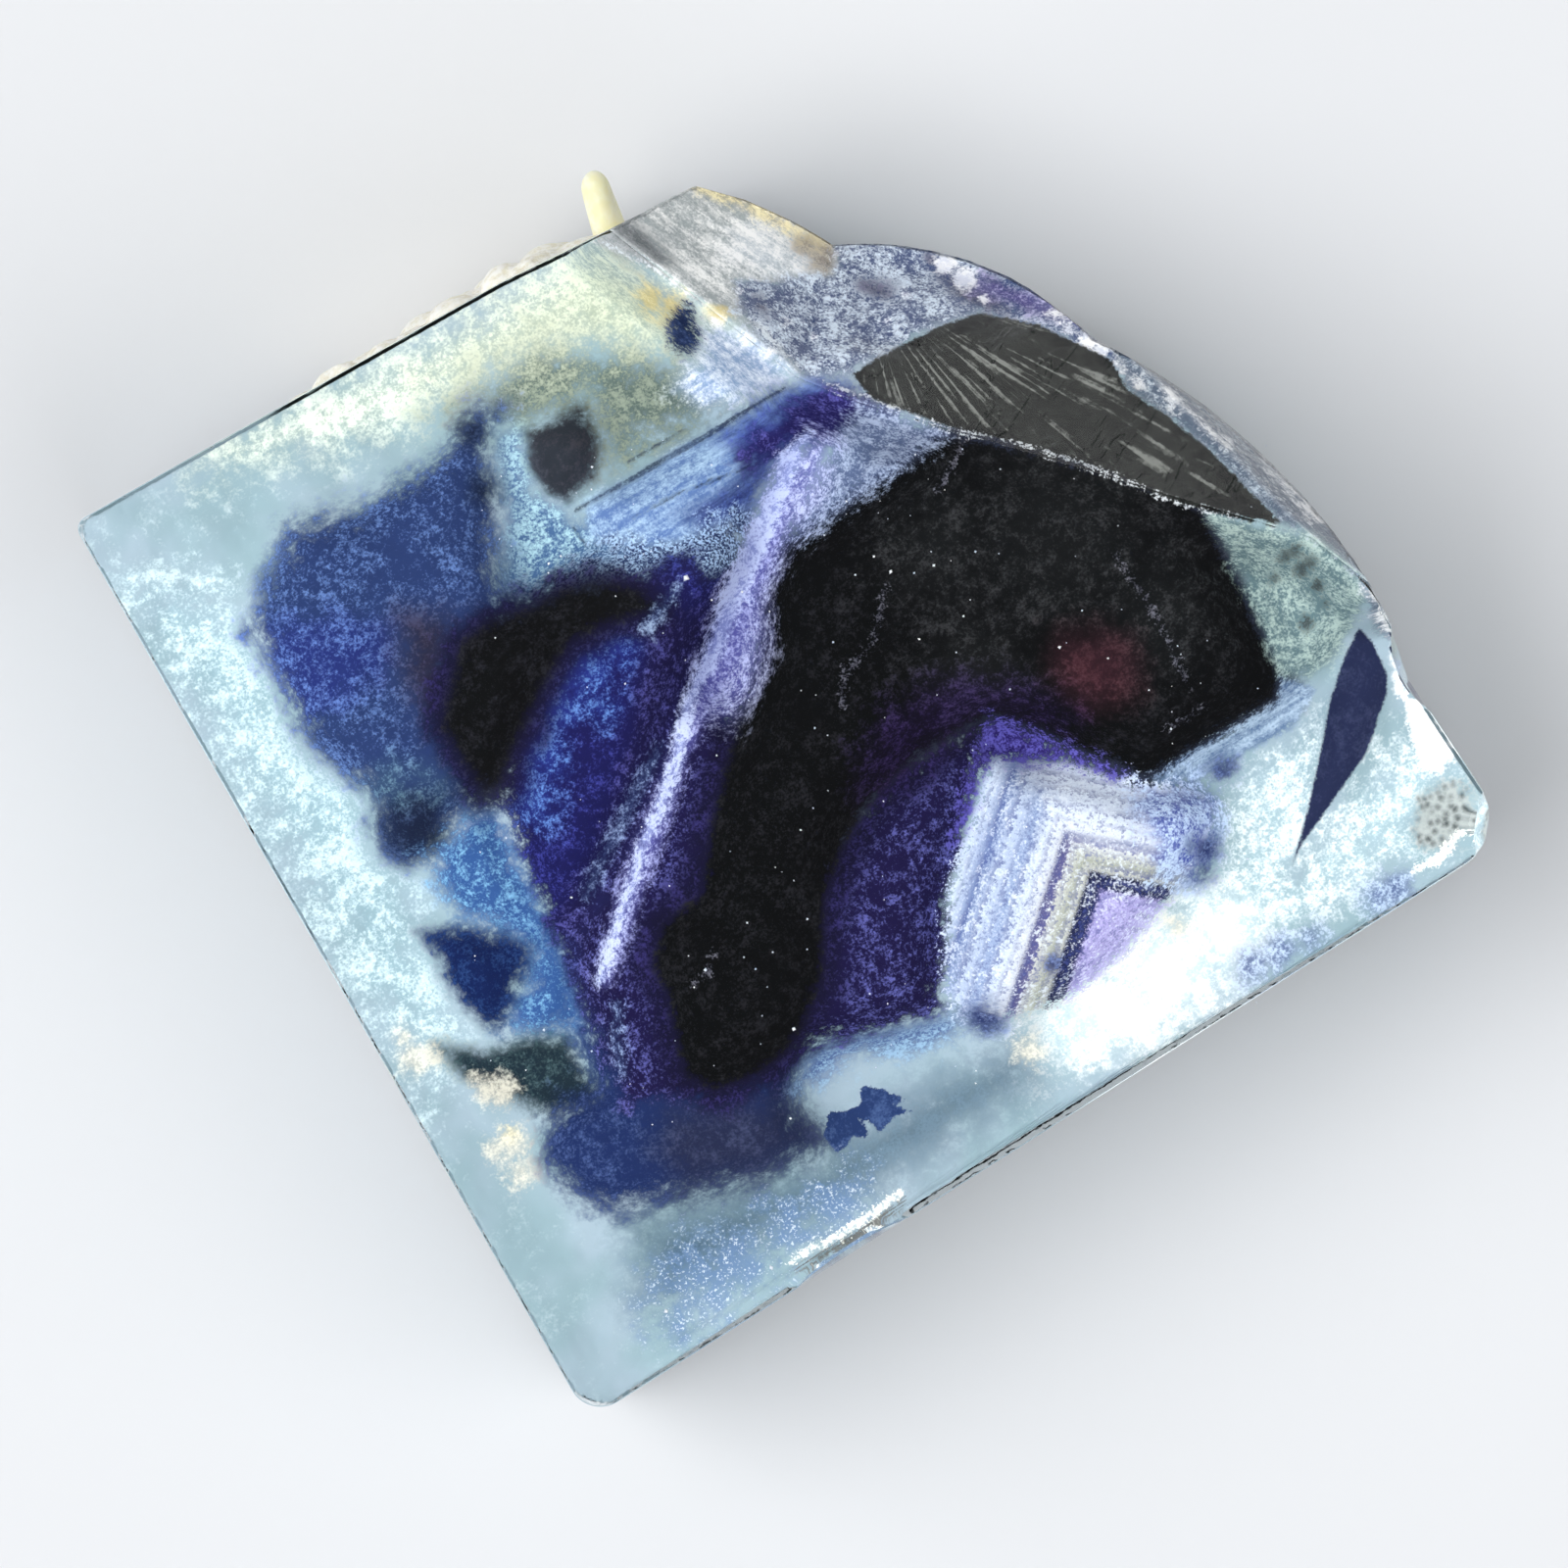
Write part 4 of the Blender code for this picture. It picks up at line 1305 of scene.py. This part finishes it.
        (1245, 820), (1235, 870), (1190, 925), (1150, 975), (1100, 1015), (1040, 1040), (985, 1040),
        (966, 1015), (966, 930), (980, 870), (996, 810))),
    "chevron_violet": Area(((1010, 730), (1050, 744), (1098, 766), (1150, 790), (1140, 796), (1096, 780),
        (1050, 778), (1015, 778), (1000, 800), (985, 850), (972, 860), (985, 790))),
    "chevron_blue": Area(((1160, 806), (1200, 800), (1250, 806), (1245, 860), (1225, 905), (1190, 890),
        (1165, 850))),
    "chevron_navy": Spots(((1232, 866, 14), (1230, 890, 12), (1006, 1040, 16), (1252, 786, 12),
        (1077, 985, 8))),
    "blade": Area(((1389, 640), (1404, 655), (1419, 690), (1418, 706), (1398, 767), (1359, 823),
        (1330, 864), (1320, 886), (1337, 827), (1350, 767), (1359, 719), (1372, 675))),
    "brown": Area(((536, 440), (593, 410), (609, 446), (603, 483), (579, 513), (556, 503), (540, 476))),
    "grey_wedge": Area(((880, 412), (930, 424), (966, 440), (940, 462), (900, 490), (860, 516),
        (815, 550), (800, 552), (830, 500), (850, 450))),
    "lilac_veil": Area(((826, 445), (850, 450), (838, 500), (800, 560), (782, 600), (782, 650),
        (770, 700), (740, 740), (716, 735), (715, 690), (745, 610), (775, 540), (795, 480))),
    "side_streak": Lines(((4.0, ((672, 765), (652, 800), (634, 840), (612, 880), (598, 915))), (3.0,
        ((630, 1025), (628, 1060), (634, 1095))), (3.0, ((690, 600), (660, 640))))),
    "streak_body": Lines(((14.0, ((806, 468), (790, 520), (772, 570), (754, 612), (738, 660), (716, 710),
        (700, 760))), (12.0, ((700, 745), (684, 800), (662, 860), (644, 905), (628, 960), (616, 1000))))),
    "streak": Lines(((7.0, ((824, 443), (798, 468), (788, 513), (769, 552), (749, 596), (732, 645),
        (719, 680), (702, 718), (689, 778), (672, 828), (656, 861), (646, 897), (634, 930), (624, 965),
        (612, 1002))), (12.0, ((812, 462), (792, 505), (772, 552), (751, 600), (735, 645), (722, 680))),
        (3.0, ((752, 604), (758, 602), (764, 606), (765, 614))))),
    # painted highlight: where the broken right rim catches the light
    "hot": Area(((1432, 702), (1446, 706), (1476, 742), (1495, 767), (1471, 790), (1457, 784),
        (1441, 745))),
    "bubbles": Spots(((1478, 830, 32), (1462, 845, 20))),
    "chip_dark": Lines(((5.0, ((812, 1296), (862, 1272), (925, 1226))),)),
    "chip_light": Lines(((4.5, ((806, 1290), (830, 1276), (862, 1262), (895, 1238), (920, 1218))), (5.0,
        ((1496, 850), (1470, 878), (1448, 888))))),
    "under_striped": Area(((605, 246), (642, 223), (710, 150), (842, 220), (862, 250), (850, 285),
        (790, 290), (748, 285), (760, 322), (712, 308), (668, 275))),
    "striped_light": Area(((740, 232), (780, 222), (850, 262), (830, 285), (770, 285), (735, 260))),
    "striped_dark": Area(((612, 242), (640, 226), (664, 240), (680, 268), (668, 276), (640, 262))),
    "striped_cream": Lines(((7.0, ((700, 190), (742, 200), (790, 222), (840, 248))),)),
    "striped_brown": Spots(((840, 262, 18), (820, 250, 12))),
    "under_scoop": Area(((815, 385), (778, 350), (748, 320), (745, 285), (800, 284), (850, 280),
        (850, 235), (900, 200), (1000, 220), (1120, 300), (1180, 372), (1140, 380), (1060, 336),
        (1000, 322), (962, 334), (905, 362), (868, 385))),
    "scoop_dark": Lines(((9.0, ((950, 262), (985, 300), (1030, 315))), (5.0, ((770, 308), (778, 316))),
        (6.0, ((880, 290), (905, 300))), (6.0, ((1010, 285), (1050, 310))))),
    "scoop_lilac": Area(((1000, 280), (1060, 300), (1110, 325), (1130, 350), (1080, 330), (1020, 310),
        (990, 300))),
    # painted highlights: white glints along the scoop facet
    "scoop_sparks": Spots(((965, 268, 11), (985, 284, 12), (1003, 306, 4), (925, 300, 3), (800, 330, 3),
        (830, 345, 3), (1110, 345, 8), (1125, 356, 9), (1090, 335, 6), (852, 260, 4), (785, 360, 3),
        (905, 330, 3), (1070, 322, 3), (752, 298, 3))),
    "under_wall": Area(((1135, 362), (1170, 330), (1330, 430), (1460, 640), (1430, 670), (1405, 640),
        (1388, 590), (1340, 545), (1306, 536), (1272, 500), (1235, 462), (1190, 425), (1150, 398))),
    # painted highlight lines along the broken wall's edges
    "wall_light": Lines(((3.0, ((1192, 400), (1215, 425), (1250, 452))), (4.0, ((1080, 320), (1135, 368),
        (1160, 392))), (5.0, ((1290, 470), (1340, 530))), (4.0, ((1400, 600), (1425, 660), (1432, 700))))),
    "under_facet": Area(((868, 384), (905, 362), (962, 333), (1000, 320), (1060, 332), (1135, 368),
        (1150, 398), (1190, 425), (1235, 462), (1272, 500), (1308, 538), (1268, 531), (1197, 513),
        (1135, 486), (1052, 459), (965, 438), (891, 411))),
    "facet_lines": Area(((880, 385), (920, 362), (1000, 330), (1060, 340), (1130, 375), (1190, 430),
        (1260, 505), (1197, 505), (1135, 480), (1052, 452), (965, 432), (895, 405))),
    # painted highlight along the fracture edges
    "crest": Lines(((1.0, ((840, 392), (891, 411), (965, 438), (1052, 459), (1135, 486), (1197, 513),
        (1268, 531))), (1.4, ((614, 247), (663, 270), (695, 296))), (3.0, ((752, 325), (777, 338),
        (812, 378))))),
}


FIELDS = ("fan_angle", "fan_radius", "chevron_level", "chevron_side", *PATCHES, "fringe")


@dataclass
class ZonedHeart:
    """The coloured relief inside the clear crystal.

    Each zone lifts the relief to its own height; under the breaks it stays just below them.
    """

    form: CrystalForm
    columns: int = 262
    rows: int = 262
    side_steps: int = 10
    inset: float = 0.04 * MM
    broken_inset: float = 0.14 * MM
    floor: float = 0.2 * MM
    rim_height: float = 10.6 * MM
    soften_passes: int = 60
    upper_x: float = -16.0 * MM
    left_x: float = -16.58 * MM
    left_lean: float = 0.55 * MM
    bottom_gap: float = 0.05 * MM
    bottom_lean: float = 0.75 * MM
    side_plain: float = 9.8 * MM
    break_plain: float = 7.0 * MM
    split_x: tuple[float, float] = (-5.5 * MM, 3.0 * MM)
    split_y: tuple[float, float] = (-5.0 * MM, 4.0 * MM)
    heights = {
        "banded": 12.6 * MM, "navy": 12.6 * MM, "blob": 12.2 * MM, "cyan": 12.2 * MM, "slate": 12.6 * MM,
        "royal": 13.2 * MM, "violet": 13.4 * MM, "chevrons": 13.2 * MM, "core": 14.5 * MM,
        "lesser_core": 13.8 * MM, "blade": 12.2 * MM, "brown": 12.4 * MM, "grey_wedge": 13.4 * MM,
        "speckled": 13.2 * MM, "aqua_window": 13.0 * MM,
    }

    def plan_grid(self) -> Array:
        """Plan points of a grid stretched over the crystal, kept inside its outline.

        Each row runs from the left side to the right one at its own height, and points that
        come too close to a rounded corner are drawn towards the middle.
        """
        outline = self.form.outline()
        right = outline[outline[:, 0] > 5.6 * MM]
        right = right[np.argsort(right[:, 1])]
        s = np.linspace(0.0, 1.0, self.columns)[None]
        t = np.linspace(0.0, 1.0, self.rows)[:, None]
        half = self.form.half_y
        bottom = -half + self.bottom_gap + self.bottom_lean * s
        along_top = self.upper_x + (self.form.peak[0] - self.upper_x) * s
        top = self.form.upper_side(along_top)
        y = bottom + (top - bottom) * t
        left_x = self.left_x + self.left_lean * (y + half) / (2 * half)
        right_x = np.interp(y, right[:, 1], right[:, 0])
        x = left_x + (right_x - left_x) * s
        plan = np.stack([x.ravel(), y.ravel()], axis=1)
        for _ in range(3):
            length = np.linalg.norm(plan, axis=1)
            near = np.flatnonzero(length > 0.55 * half)
            broken = smooth_step(-0.5 * MM, 0.5 * MM, self.form.into_breaks(plan[near]))
            inset = self.inset + (self.broken_inset - self.inset) * broken
            short = np.maximum(inset - signed_distance(plan[near], outline), 0.0)
            plan[near] -= plan[near] / length[near, None] * short[:, None] * 1.3
        return plan

    def soften(self, height: Array) -> Array:
        """Blur the relief: each point becomes the mean of itself and its neighbours, many times."""
        field = height.reshape(self.rows, self.columns)
        for _ in range(self.soften_passes):
            wide = np.pad(field, 1, mode="edge")
            field = (wide[:-2, 1:-1] + wide[2:, 1:-1] + wide[1:-1, :-2] + wide[1:-1, 2:]) / 8 + field / 2
        return field.ravel()

    def height(self, plan: Array, fields: dict[str, Array]) -> Array:
        """Height of the relief: the highest of the rim and the zones, kept under the breaks.

        A zone's share eases in from a little outside its outline to well inside it.
        """
        flat = np.column_stack([plan, np.zeros(len(plan))])
        base = self.rim_height + 0.5 * MM * cloud(flat, 3.0 * MM, 31, octaves=3)
        height = base.copy()
        for name, top in self.heights.items():
            share = smooth_step(-0.6 * MM, 1.0 * MM, fields[name])
            height = np.maximum(height, base + (top - base) * share)
        height = self.soften(height) + 0.1 * MM * cloud(flat, 0.8 * MM, 33, octaves=3)
        front = self.form.front_height(plan)
        on_break = smooth_step(-1.8 * MM, -0.1 * MM, self.form.into_breaks(plan))
        under = front - self.form.cover
        lifted = height + (under - height) * on_break
        return np.minimum(lifted, under)

    def fields(self, plan: Array) -> dict[str, Array]:
        """Every distance that the colour reads, in metres."""
        found = {name: patch.distance(plan) for name, patch in PATCHES.items()}
        found["fringe"] = np.maximum(found["core"], found["lesser_core"]) + 0.7 * MM
        apex = PICTURE.plan((1018, 732))[0]
        found["chevron_level"] = (apex[1] - plan[:, 1]) - 0.87 * np.abs(plan[:, 0] - apex[0])
        found["chevron_side"] = plan[:, 0] - apex[0]
        return found

    def paint(self, piece: bpy.types.Object, points: Array) -> None:
        """Store the distances in millimetres, and give each part of the heart its own material.

        Nine parts are the fields of a three by three grid and the tenth is what lies under the
        breaks. Each material holds only the coats that reach its part, so the colours agree at
        the seams.
        """
        plan = points[:, :2]
        stored = {name: distance / MM for name, distance in self.fields(plan).items()}
        offset = plan - PICTURE.plan((873, 276))[0]
        stored["fan_angle"] = np.arctan2(offset[:, 1], offset[:, 0])
        stored["fan_radius"] = np.linalg.norm(offset, axis=1) / MM
        columns = [stored[name] for name in FIELDS]
        columns += [np.zeros(len(plan))] * (-len(columns) % 3)
        for pack in range(len(columns) // 3):
            add_vectors(piece, f"fields_{pack}", np.stack(columns[3 * pack:3 * pack + 3], axis=1))
        mesh = piece.data
        centres = np.zeros(len(mesh.polygons) * 3)
        mesh.polygons.foreach_get("center", centres)
        centres = centres.reshape(-1, 3)[:, :2]
        column = np.searchsorted(self.split_x, centres[:, 0])
        row = np.searchsorted(self.split_y, centres[:, 1])
        on_break = self.form.front_height(centres) < self.form.top - 0.01 * MM
        part = np.where(on_break, 9, 3 * row + column)
        corners = np.zeros(len(mesh.loops), np.int32)
        mesh.loops.foreach_get("vertex_index", corners)
        sides = np.zeros(len(mesh.polygons), np.int32)
        mesh.polygons.foreach_get("loop_total", sides)
        for index in range(10):
            inside = np.unique(corners[np.repeat(part == index, sides)])
            peaks = {field: values[inside].max() for field, values in stored.items()}
            plain_below = self.break_plain if index == 9 else self.side_plain
            finish = ZonedColour(
                f"zoned_heart_{index}", lambda field, level: peaks[field] > level, plain_below
            )
            mesh.materials.append(finish.build())
        mesh.polygons.foreach_set("material_index", part.astype(np.int32))

    def build(self) -> bpy.types.Object:
        """Make the closed relief: its top, its side and its underside.

        Returns:
            The heart.
        """
        plan = self.plan_grid()
        top = np.column_stack([plan, self.height(plan, self.fields(plan))])
        rows, columns = self.rows, self.columns
        order = np.arange(rows * columns).reshape(rows, columns)
        rim = np.concatenate([order[0, :-1], order[:-1, -1], order[-1, :0:-1], order[:0:-1, 0]])
        steps = self.side_steps
        sides = []
        for step in range(1, steps + 1):
            ring = top[rim].copy()
            ring[:, 2] = self.floor + (ring[:, 2] - self.floor) * (1.0 - step / steps)
            sides.append(ring)
        points = np.concatenate([top, *sides, [[0.0, 0.0, self.floor]]])
        count = len(rim)
        rings = [rim] + [len(top) + count * step + np.arange(count) for step in range(steps)]
        faces = [*grid_faces(rows, columns, closed=False)]
        for upper, lower in zip(rings[:-1], rings[1:]):
            faces.extend(np.stack([upper, lower, np.roll(lower, -1), np.roll(upper, -1)], axis=1))
        last = rings[-1]
        middle = np.full(count, len(points) - 1)
        faces.extend(np.stack([last, middle, np.roll(last, -1)], axis=1))
        piece = make_piece("zoned_heart", points, faces)
        self.paint(piece, points)
        finish_piece(piece, None, "fluorite")
        return piece


@dataclass
class Crust:
    """The pale lumps on the upper-left side, and the spike grown together with them."""

    form: CrystalForm
    low: Vector
    high_x: float = 4.3 * MM
    high_z: float = 9.0 * MM
    spacing: float = 0.055 * MM
    gap: float = 0.015 * MM
    root: float = 0.35 * MM
    skin: float = 0.03 * MM
    first_lump: float = -8.4 * MM
    last_lump: float = 3.2 * MM
    lump_rows: int = 5
    lump_columns: int = 9
    squareness: float = 2.6
    spike_radii: tuple[float, float] = (0.6 * MM, 0.42 * MM)
    spike_rings: int = 48

    def lumps(self) -> Array:
        """Places, radii and reaches of the lumps, in the CAD model's uneven rows."""
        grid = np.meshgrid(np.arange(self.lump_rows), np.arange(self.lump_columns), indexing="ij")
        row, column = [part.ravel() for part in grid]
        share = column / (self.lump_columns - 1)
        x = self.first_lump + (self.last_lump - self.first_lump) * share
        x = x + 0.35 * MM * np.sin(2.7 * row + 1.9 * column)
        z = 1.4 * MM + row * 1.55 * MM + 0.3 * MM * np.cos(1.3 * column + row)
        radius = (0.95 + 0.3 * share + 0.15 * np.sin(4.1 * column + 2.3 * row)) * MM
        reach = (0.18 + 0.5 * share + 0.16 * np.sin(1.7 * column + 3.1 * row)) * MM
        reach *= smooth_step(2.6 * MM, 0.8 * MM, x)
        return np.column_stack([x, z, radius, reach])

    def presence(self, x: Array, z: Array) -> Array:
        """How far inside the crust's ragged outline a point of the side lies.

        The outline is a superellipse that fills the crust's box, pushed in and out by noise.
        """
        half_x, half_z = (self.high_x - self.low.x) / 2, (self.high_z - self.low.z) / 2
        across = np.abs(x - (self.low.x + self.high_x) / 2) / half_x
        up = np.abs(z - (self.low.z + self.high_z) / 2) / half_z
        power = self.squareness
        edge = (1.0 - (across**power + up**power) ** (1 / power)) * half_z
        points = np.column_stack([x, np.zeros(len(x)), z])
        return edge + 0.1 * MM + 0.9 * MM * cloud(points, 2.2 * MM, 43, octaves=4)

    def thickness(self, x: Array, z: Array) -> Array:
        """How thick the crust is: the highest lump over a point, thinned towards the outline."""
        reach = np.zeros(len(x))
        for lump_x, lump_z, radius, lump_reach in self.lumps():
            distance = np.hypot(x - lump_x, z - lump_z) / radius
            crown = np.sqrt(np.clip(1.0 - distance**2, 0.0, 1.0))
            reach = np.maximum(reach, (self.root + lump_reach) * crown - self.root)
        points = np.column_stack([x, np.zeros(len(x)), z])
        reach += 0.05 * MM * (1.0 + cloud(points, 0.6 * MM, 41, octaves=3))
        return self.skin + reach * smooth_step(0.0, 0.6 * MM, self.presence(x, z))

    def build(self) -> list[bpy.types.Object]:
        """Make the crust and its spike.

        The crust is a grid over the crystal's side with only the cells inside its outline; the
        edges that one kept cell has to itself are joined to the back.

        Returns:
            The two pieces.
        """
        columns = round((self.high_x - self.low.x) / self.spacing)
        rows = round((self.high_z - self.low.z) / self.spacing)
        s, t = np.meshgrid(np.linspace(0, 1, columns), np.linspace(0, 1, rows))
        x = (self.low.x + (self.high_x - self.low.x) * s).ravel()
        z = (self.low.z + (self.high_z - self.low.z) * t).ravel()
        wall = self.form.upper_side(x) + self.gap
        front = np.column_stack([x, wall + self.thickness(x, z), z])
        back = np.column_stack([x, wall, z])
        cells = grid_faces(rows, columns, closed=False)
        present = self.presence(x, z) > 0.0
        cells = cells[present[cells].all(axis=1)]
        sides = np.stack([cells, np.roll(cells, -1, axis=1)], axis=-1).reshape(-1, 2)
        key = np.sort(sides, axis=1) @ [len(x), 1]
        _, first, used = np.unique(key, return_index=True, return_counts=True)
        border = sides[first[used == 1]]
        skirt = np.column_stack([border[:, ::-1], border + len(x)])
        faces = np.concatenate([cells, cells[:, ::-1] + len(x), skirt])
        kept, faces = np.unique(faces, return_inverse=True)
        points = np.concatenate([front, back])[kept]
        crust = make_piece("calcite_crust_grains", points, faces.reshape(-1, 4))
        weld(crust)
        finish_piece(crust, CrustFinish().build(), "crust", "calcite_crust")
        return [crust, self.spike()]

    def spike(self) -> bpy.types.Object:
        """A blunt tooth: rings about a leaning axis, their radius a tapered superellipse."""
        root = np.array([2.5 * MM, 14.4 * MM, 5.8 * MM])
        tip = np.array([3.2 * MM, 17.15 * MM, 6.6 * MM])
        axis = (tip - root) / np.linalg.norm(tip - root)
        side = np.cross(axis, [0.0, 0.0, 1.0])
        side /= np.linalg.norm(side)
        other = np.cross(side, axis)
        count = self.spike_rings
        s = np.linspace(0.0, 1.0, count)[:, None]
        angle = np.linspace(0.0, 2 * math.pi, count, endpoint=False)[None]
        wide, narrow = self.spike_radii
        taper = wide + (narrow - wide) * s
        blunt = np.clip(1.0 - np.clip((s - 0.78) / 0.22, 0.0, 1.0) ** 2.4, 0.0, 1.0) ** 0.5
        radius = taper * np.maximum(blunt, 0.004) * (1.0 + 0.04 * np.sin(3 * angle + 6 * s))
        along = root + (tip + 0.05 * MM * axis - root) * s[..., None]
        round_part = side * np.cos(angle)[..., None] + other * np.sin(angle)[..., None]
        points = (along + radius[..., None] * round_part).reshape(-1, 3)
        faces = grid_faces(count, count, closed=True).tolist()
        faces.append(list(range(count)))
        faces.append(list(range(count * (count - 1), count * count))[::-1])
        spike = make_piece("calcite_spike", points, faces)
        weld(spike)
        finish_piece(spike, SpikeFinish().build(), "crust")
        return spike


@dataclass
class Flecks:
    """White specks just under the front face, a few placed one by one and the rest scattered."""

    form: CrystalForm
    seed: int = 7
    dust: int = 170
    dust_low: Point = (480.0, 430.0)
    dust_high: Point = (1300.0, 1150.0)
    depth: float = 0.22 * MM

    def places(self) -> tuple[Array, Array]:
        """Positions and sizes of the specks: a few listed as picture points, the rest scattered."""
        picked = (
            (700, 589, 7), (757, 604, 4), (909, 583, 5), (892, 568, 3), (938, 652, 4),
            (1104, 623, 3), (1081, 660, 4), (983, 629, 3), (953, 577, 4), (850, 655, 3),
            (583, 916, 4), (720, 990, 4), (1195, 744, 4), (1065, 860, 2), (787, 1294, 5),
            (680, 1338, 5), (560, 575, 4), (1131, 672, 3), (824, 938, 3), (810, 1050, 4),
        )
        rng = np.random.default_rng(self.seed)
        spots = np.array(picked, float)
        plan = PICTURE.plan(*spots[:, :2])
        size = spots[:, 2] * PICTURE.pixel * 0.5
        near = np.column_stack([plan, self.form.front_height(plan) - self.depth])
        dust_pixels = np.column_stack([
            rng.uniform(low, high, self.dust) for low, high in zip(self.dust_low, self.dust_high)
        ])
        dust = PICTURE.plan(*dust_pixels)
        dust_z = self.form.front_height(dust) - rng.uniform(0.2, 1.0, len(dust)) * MM
        dust_points = np.column_stack([dust, dust_z])
        dust_size = rng.uniform(0.015, 0.04, len(dust)) * MM
        return np.concatenate([near, dust_points]), np.concatenate([size, dust_size])

    def build(self) -> bpy.types.Object:
        """Make every speck an uneven octahedron.

        Returns:
            The specks as one piece.
        """
        centres, sizes = self.places()
        rng = np.random.default_rng(self.seed + 1)
        corners = np.array([[1, 0, 0], [-1, 0, 0], [0, 1, 0], [0, -1, 0], [0, 0, 1], [0, 0, -1]], float)
        stretch = rng.uniform(0.5, 1.4, (len(centres), 6, 1))
        angle = rng.uniform(0, math.pi, len(centres))
        cosine, sine = np.cos(angle), np.sin(angle)
        zero, one = np.zeros(len(centres)), np.ones(len(centres))
        turn = np.stack([
            np.stack([cosine, -sine, zero], axis=1), np.stack([sine, cosine, zero], axis=1),
            np.stack([zero, zero, one * 0.5], axis=1),
        ], axis=1)
        local = np.einsum("nij,ncj->nci", turn, corners[None] * stretch)
        points = (centres[:, None] + local * sizes[:, None, None]).reshape(-1, 3)
        facets = np.array([
            [0, 2, 4], [2, 1, 4], [1, 3, 4], [3, 0, 4], [2, 0, 5], [1, 2, 5], [3, 1, 5], [0, 3, 5],
        ])
        faces = (facets[None] + 6 * np.arange(len(centres))[:, None, None]).reshape(-1, 3)
        piece = make_piece("white_flecks", points, faces)
        finish_piece(piece, FleckFinish().build(), "fluorite")
        return piece


@dataclass(frozen=True)
class Studio:
    """Floor, lights and camera."""

    centre_pixel: Point = (800.0, 800.0)
    distance: float = 0.7
    sensor: float = 36.0
    floor_half: float = 1.5
    floor_z: float = -0.02 * MM
    light_distance: float = 0.8
    surround: tuple[float, float, float, float] = (0.9, 0.95, 1.0, 1.0)
    surround_strength: float = 0.17

    def floor(self) -> None:
        """A plain pale floor under the crystal."""
        side, level = self.floor_half, self.floor_z
        points = np.array([
            [-side, -side, level], [side, -side, level], [side, side, level], [-side, side, level],
        ])
        floor = make_piece("floor", points, [[0, 1, 2, 3]])
        graph = Graph("pale_floor")
        graph.principled({"Base Color": (0.8, 0.81, 0.83), "Roughness": 0.7})
        floor.data.materials.append(graph.material)

    def light(self, name: str, azimuth: float, elevation: float, size: float, power: float) -> None:
        """A square soft white light that faces the crystal.

        Args:
            name: the light's name.
            azimuth: its direction in plan, in degrees from +X towards +Y.
            elevation: its height angle in degrees.
            size: its side.
            power: its power in watts.
        """
        data = bpy.data.lights.new(name, "AREA")
        data.size = size
        data.energy = power
        lamp = bpy.data.objects.new(name, data)
        bpy.context.scene.collection.objects.link(lamp)
        flat = math.cos(math.radians(elevation)) * self.light_distance
        lamp.location = (
            flat * math.cos(math.radians(azimuth)), flat * math.sin(math.radians(azimuth)),
            math.sin(math.radians(elevation)) * self.light_distance,
        )
        lamp.rotation_euler = (-Vector(lamp.location)).to_track_quat("-Z", "Y").to_euler()

    def lights(self) -> None:
        """Three soft lights and a dim even surround."""
        self.light("key_light", 150.0, 52.0, 0.7, 6.0)
        self.light("fill_light", -60.0, 48.0, 0.8, 3.6)
        self.light("low_light", 42.0, 14.0, 0.5, 0.6)
        world = bpy.data.worlds.new("surround")
        world.use_nodes = True
        background = world.node_tree.nodes["Background"]
        background.inputs[0].default_value = self.surround
        background.inputs[1].default_value = self.surround_strength
        bpy.context.scene.world = world

    def camera(self, top: float) -> None:
        """Look straight down on the front face, turned as the photograph is."""
        data = bpy.data.cameras.new("camera")
        frame_width = PICTURE.width * PICTURE.pixel
        data.sensor_width = self.sensor
        data.lens = self.sensor * self.distance / frame_width
        camera = bpy.data.objects.new("camera", data)
        bpy.context.scene.collection.objects.link(camera)
        aim = PICTURE.plan(self.centre_pixel)[0]
        up = PICTURE.up()
        back = Vector((0.0, 0.0, 1.0))
        right = up.cross(back)
        camera.matrix_world = Matrix.Translation((aim[0], aim[1], top + self.distance)) @ Matrix(
            (right, up, back)
        ).transposed().to_4x4()
        bpy.context.scene.camera = camera

    def build(self, top: float) -> None:
        """Set the stage."""
        self.floor()
        self.lights()
        self.camera(top)
        bpy.context.scene.view_settings.view_transform = "Standard"


def main() -> None:
    """Build every piece, light it and frame it."""
    logging.basicConfig(level=logging.INFO, format="%(message)s")
    form = CrystalForm(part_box("fluorite_crystal")[1].z)
    Studio().build(form.top)
    CrystalBody(form).build()
    ZonedHeart(form).build()
    Crust(form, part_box("calcite_crust")[0]).build()
    Flecks(form).build()


if __name__ == "__main__":
    main()
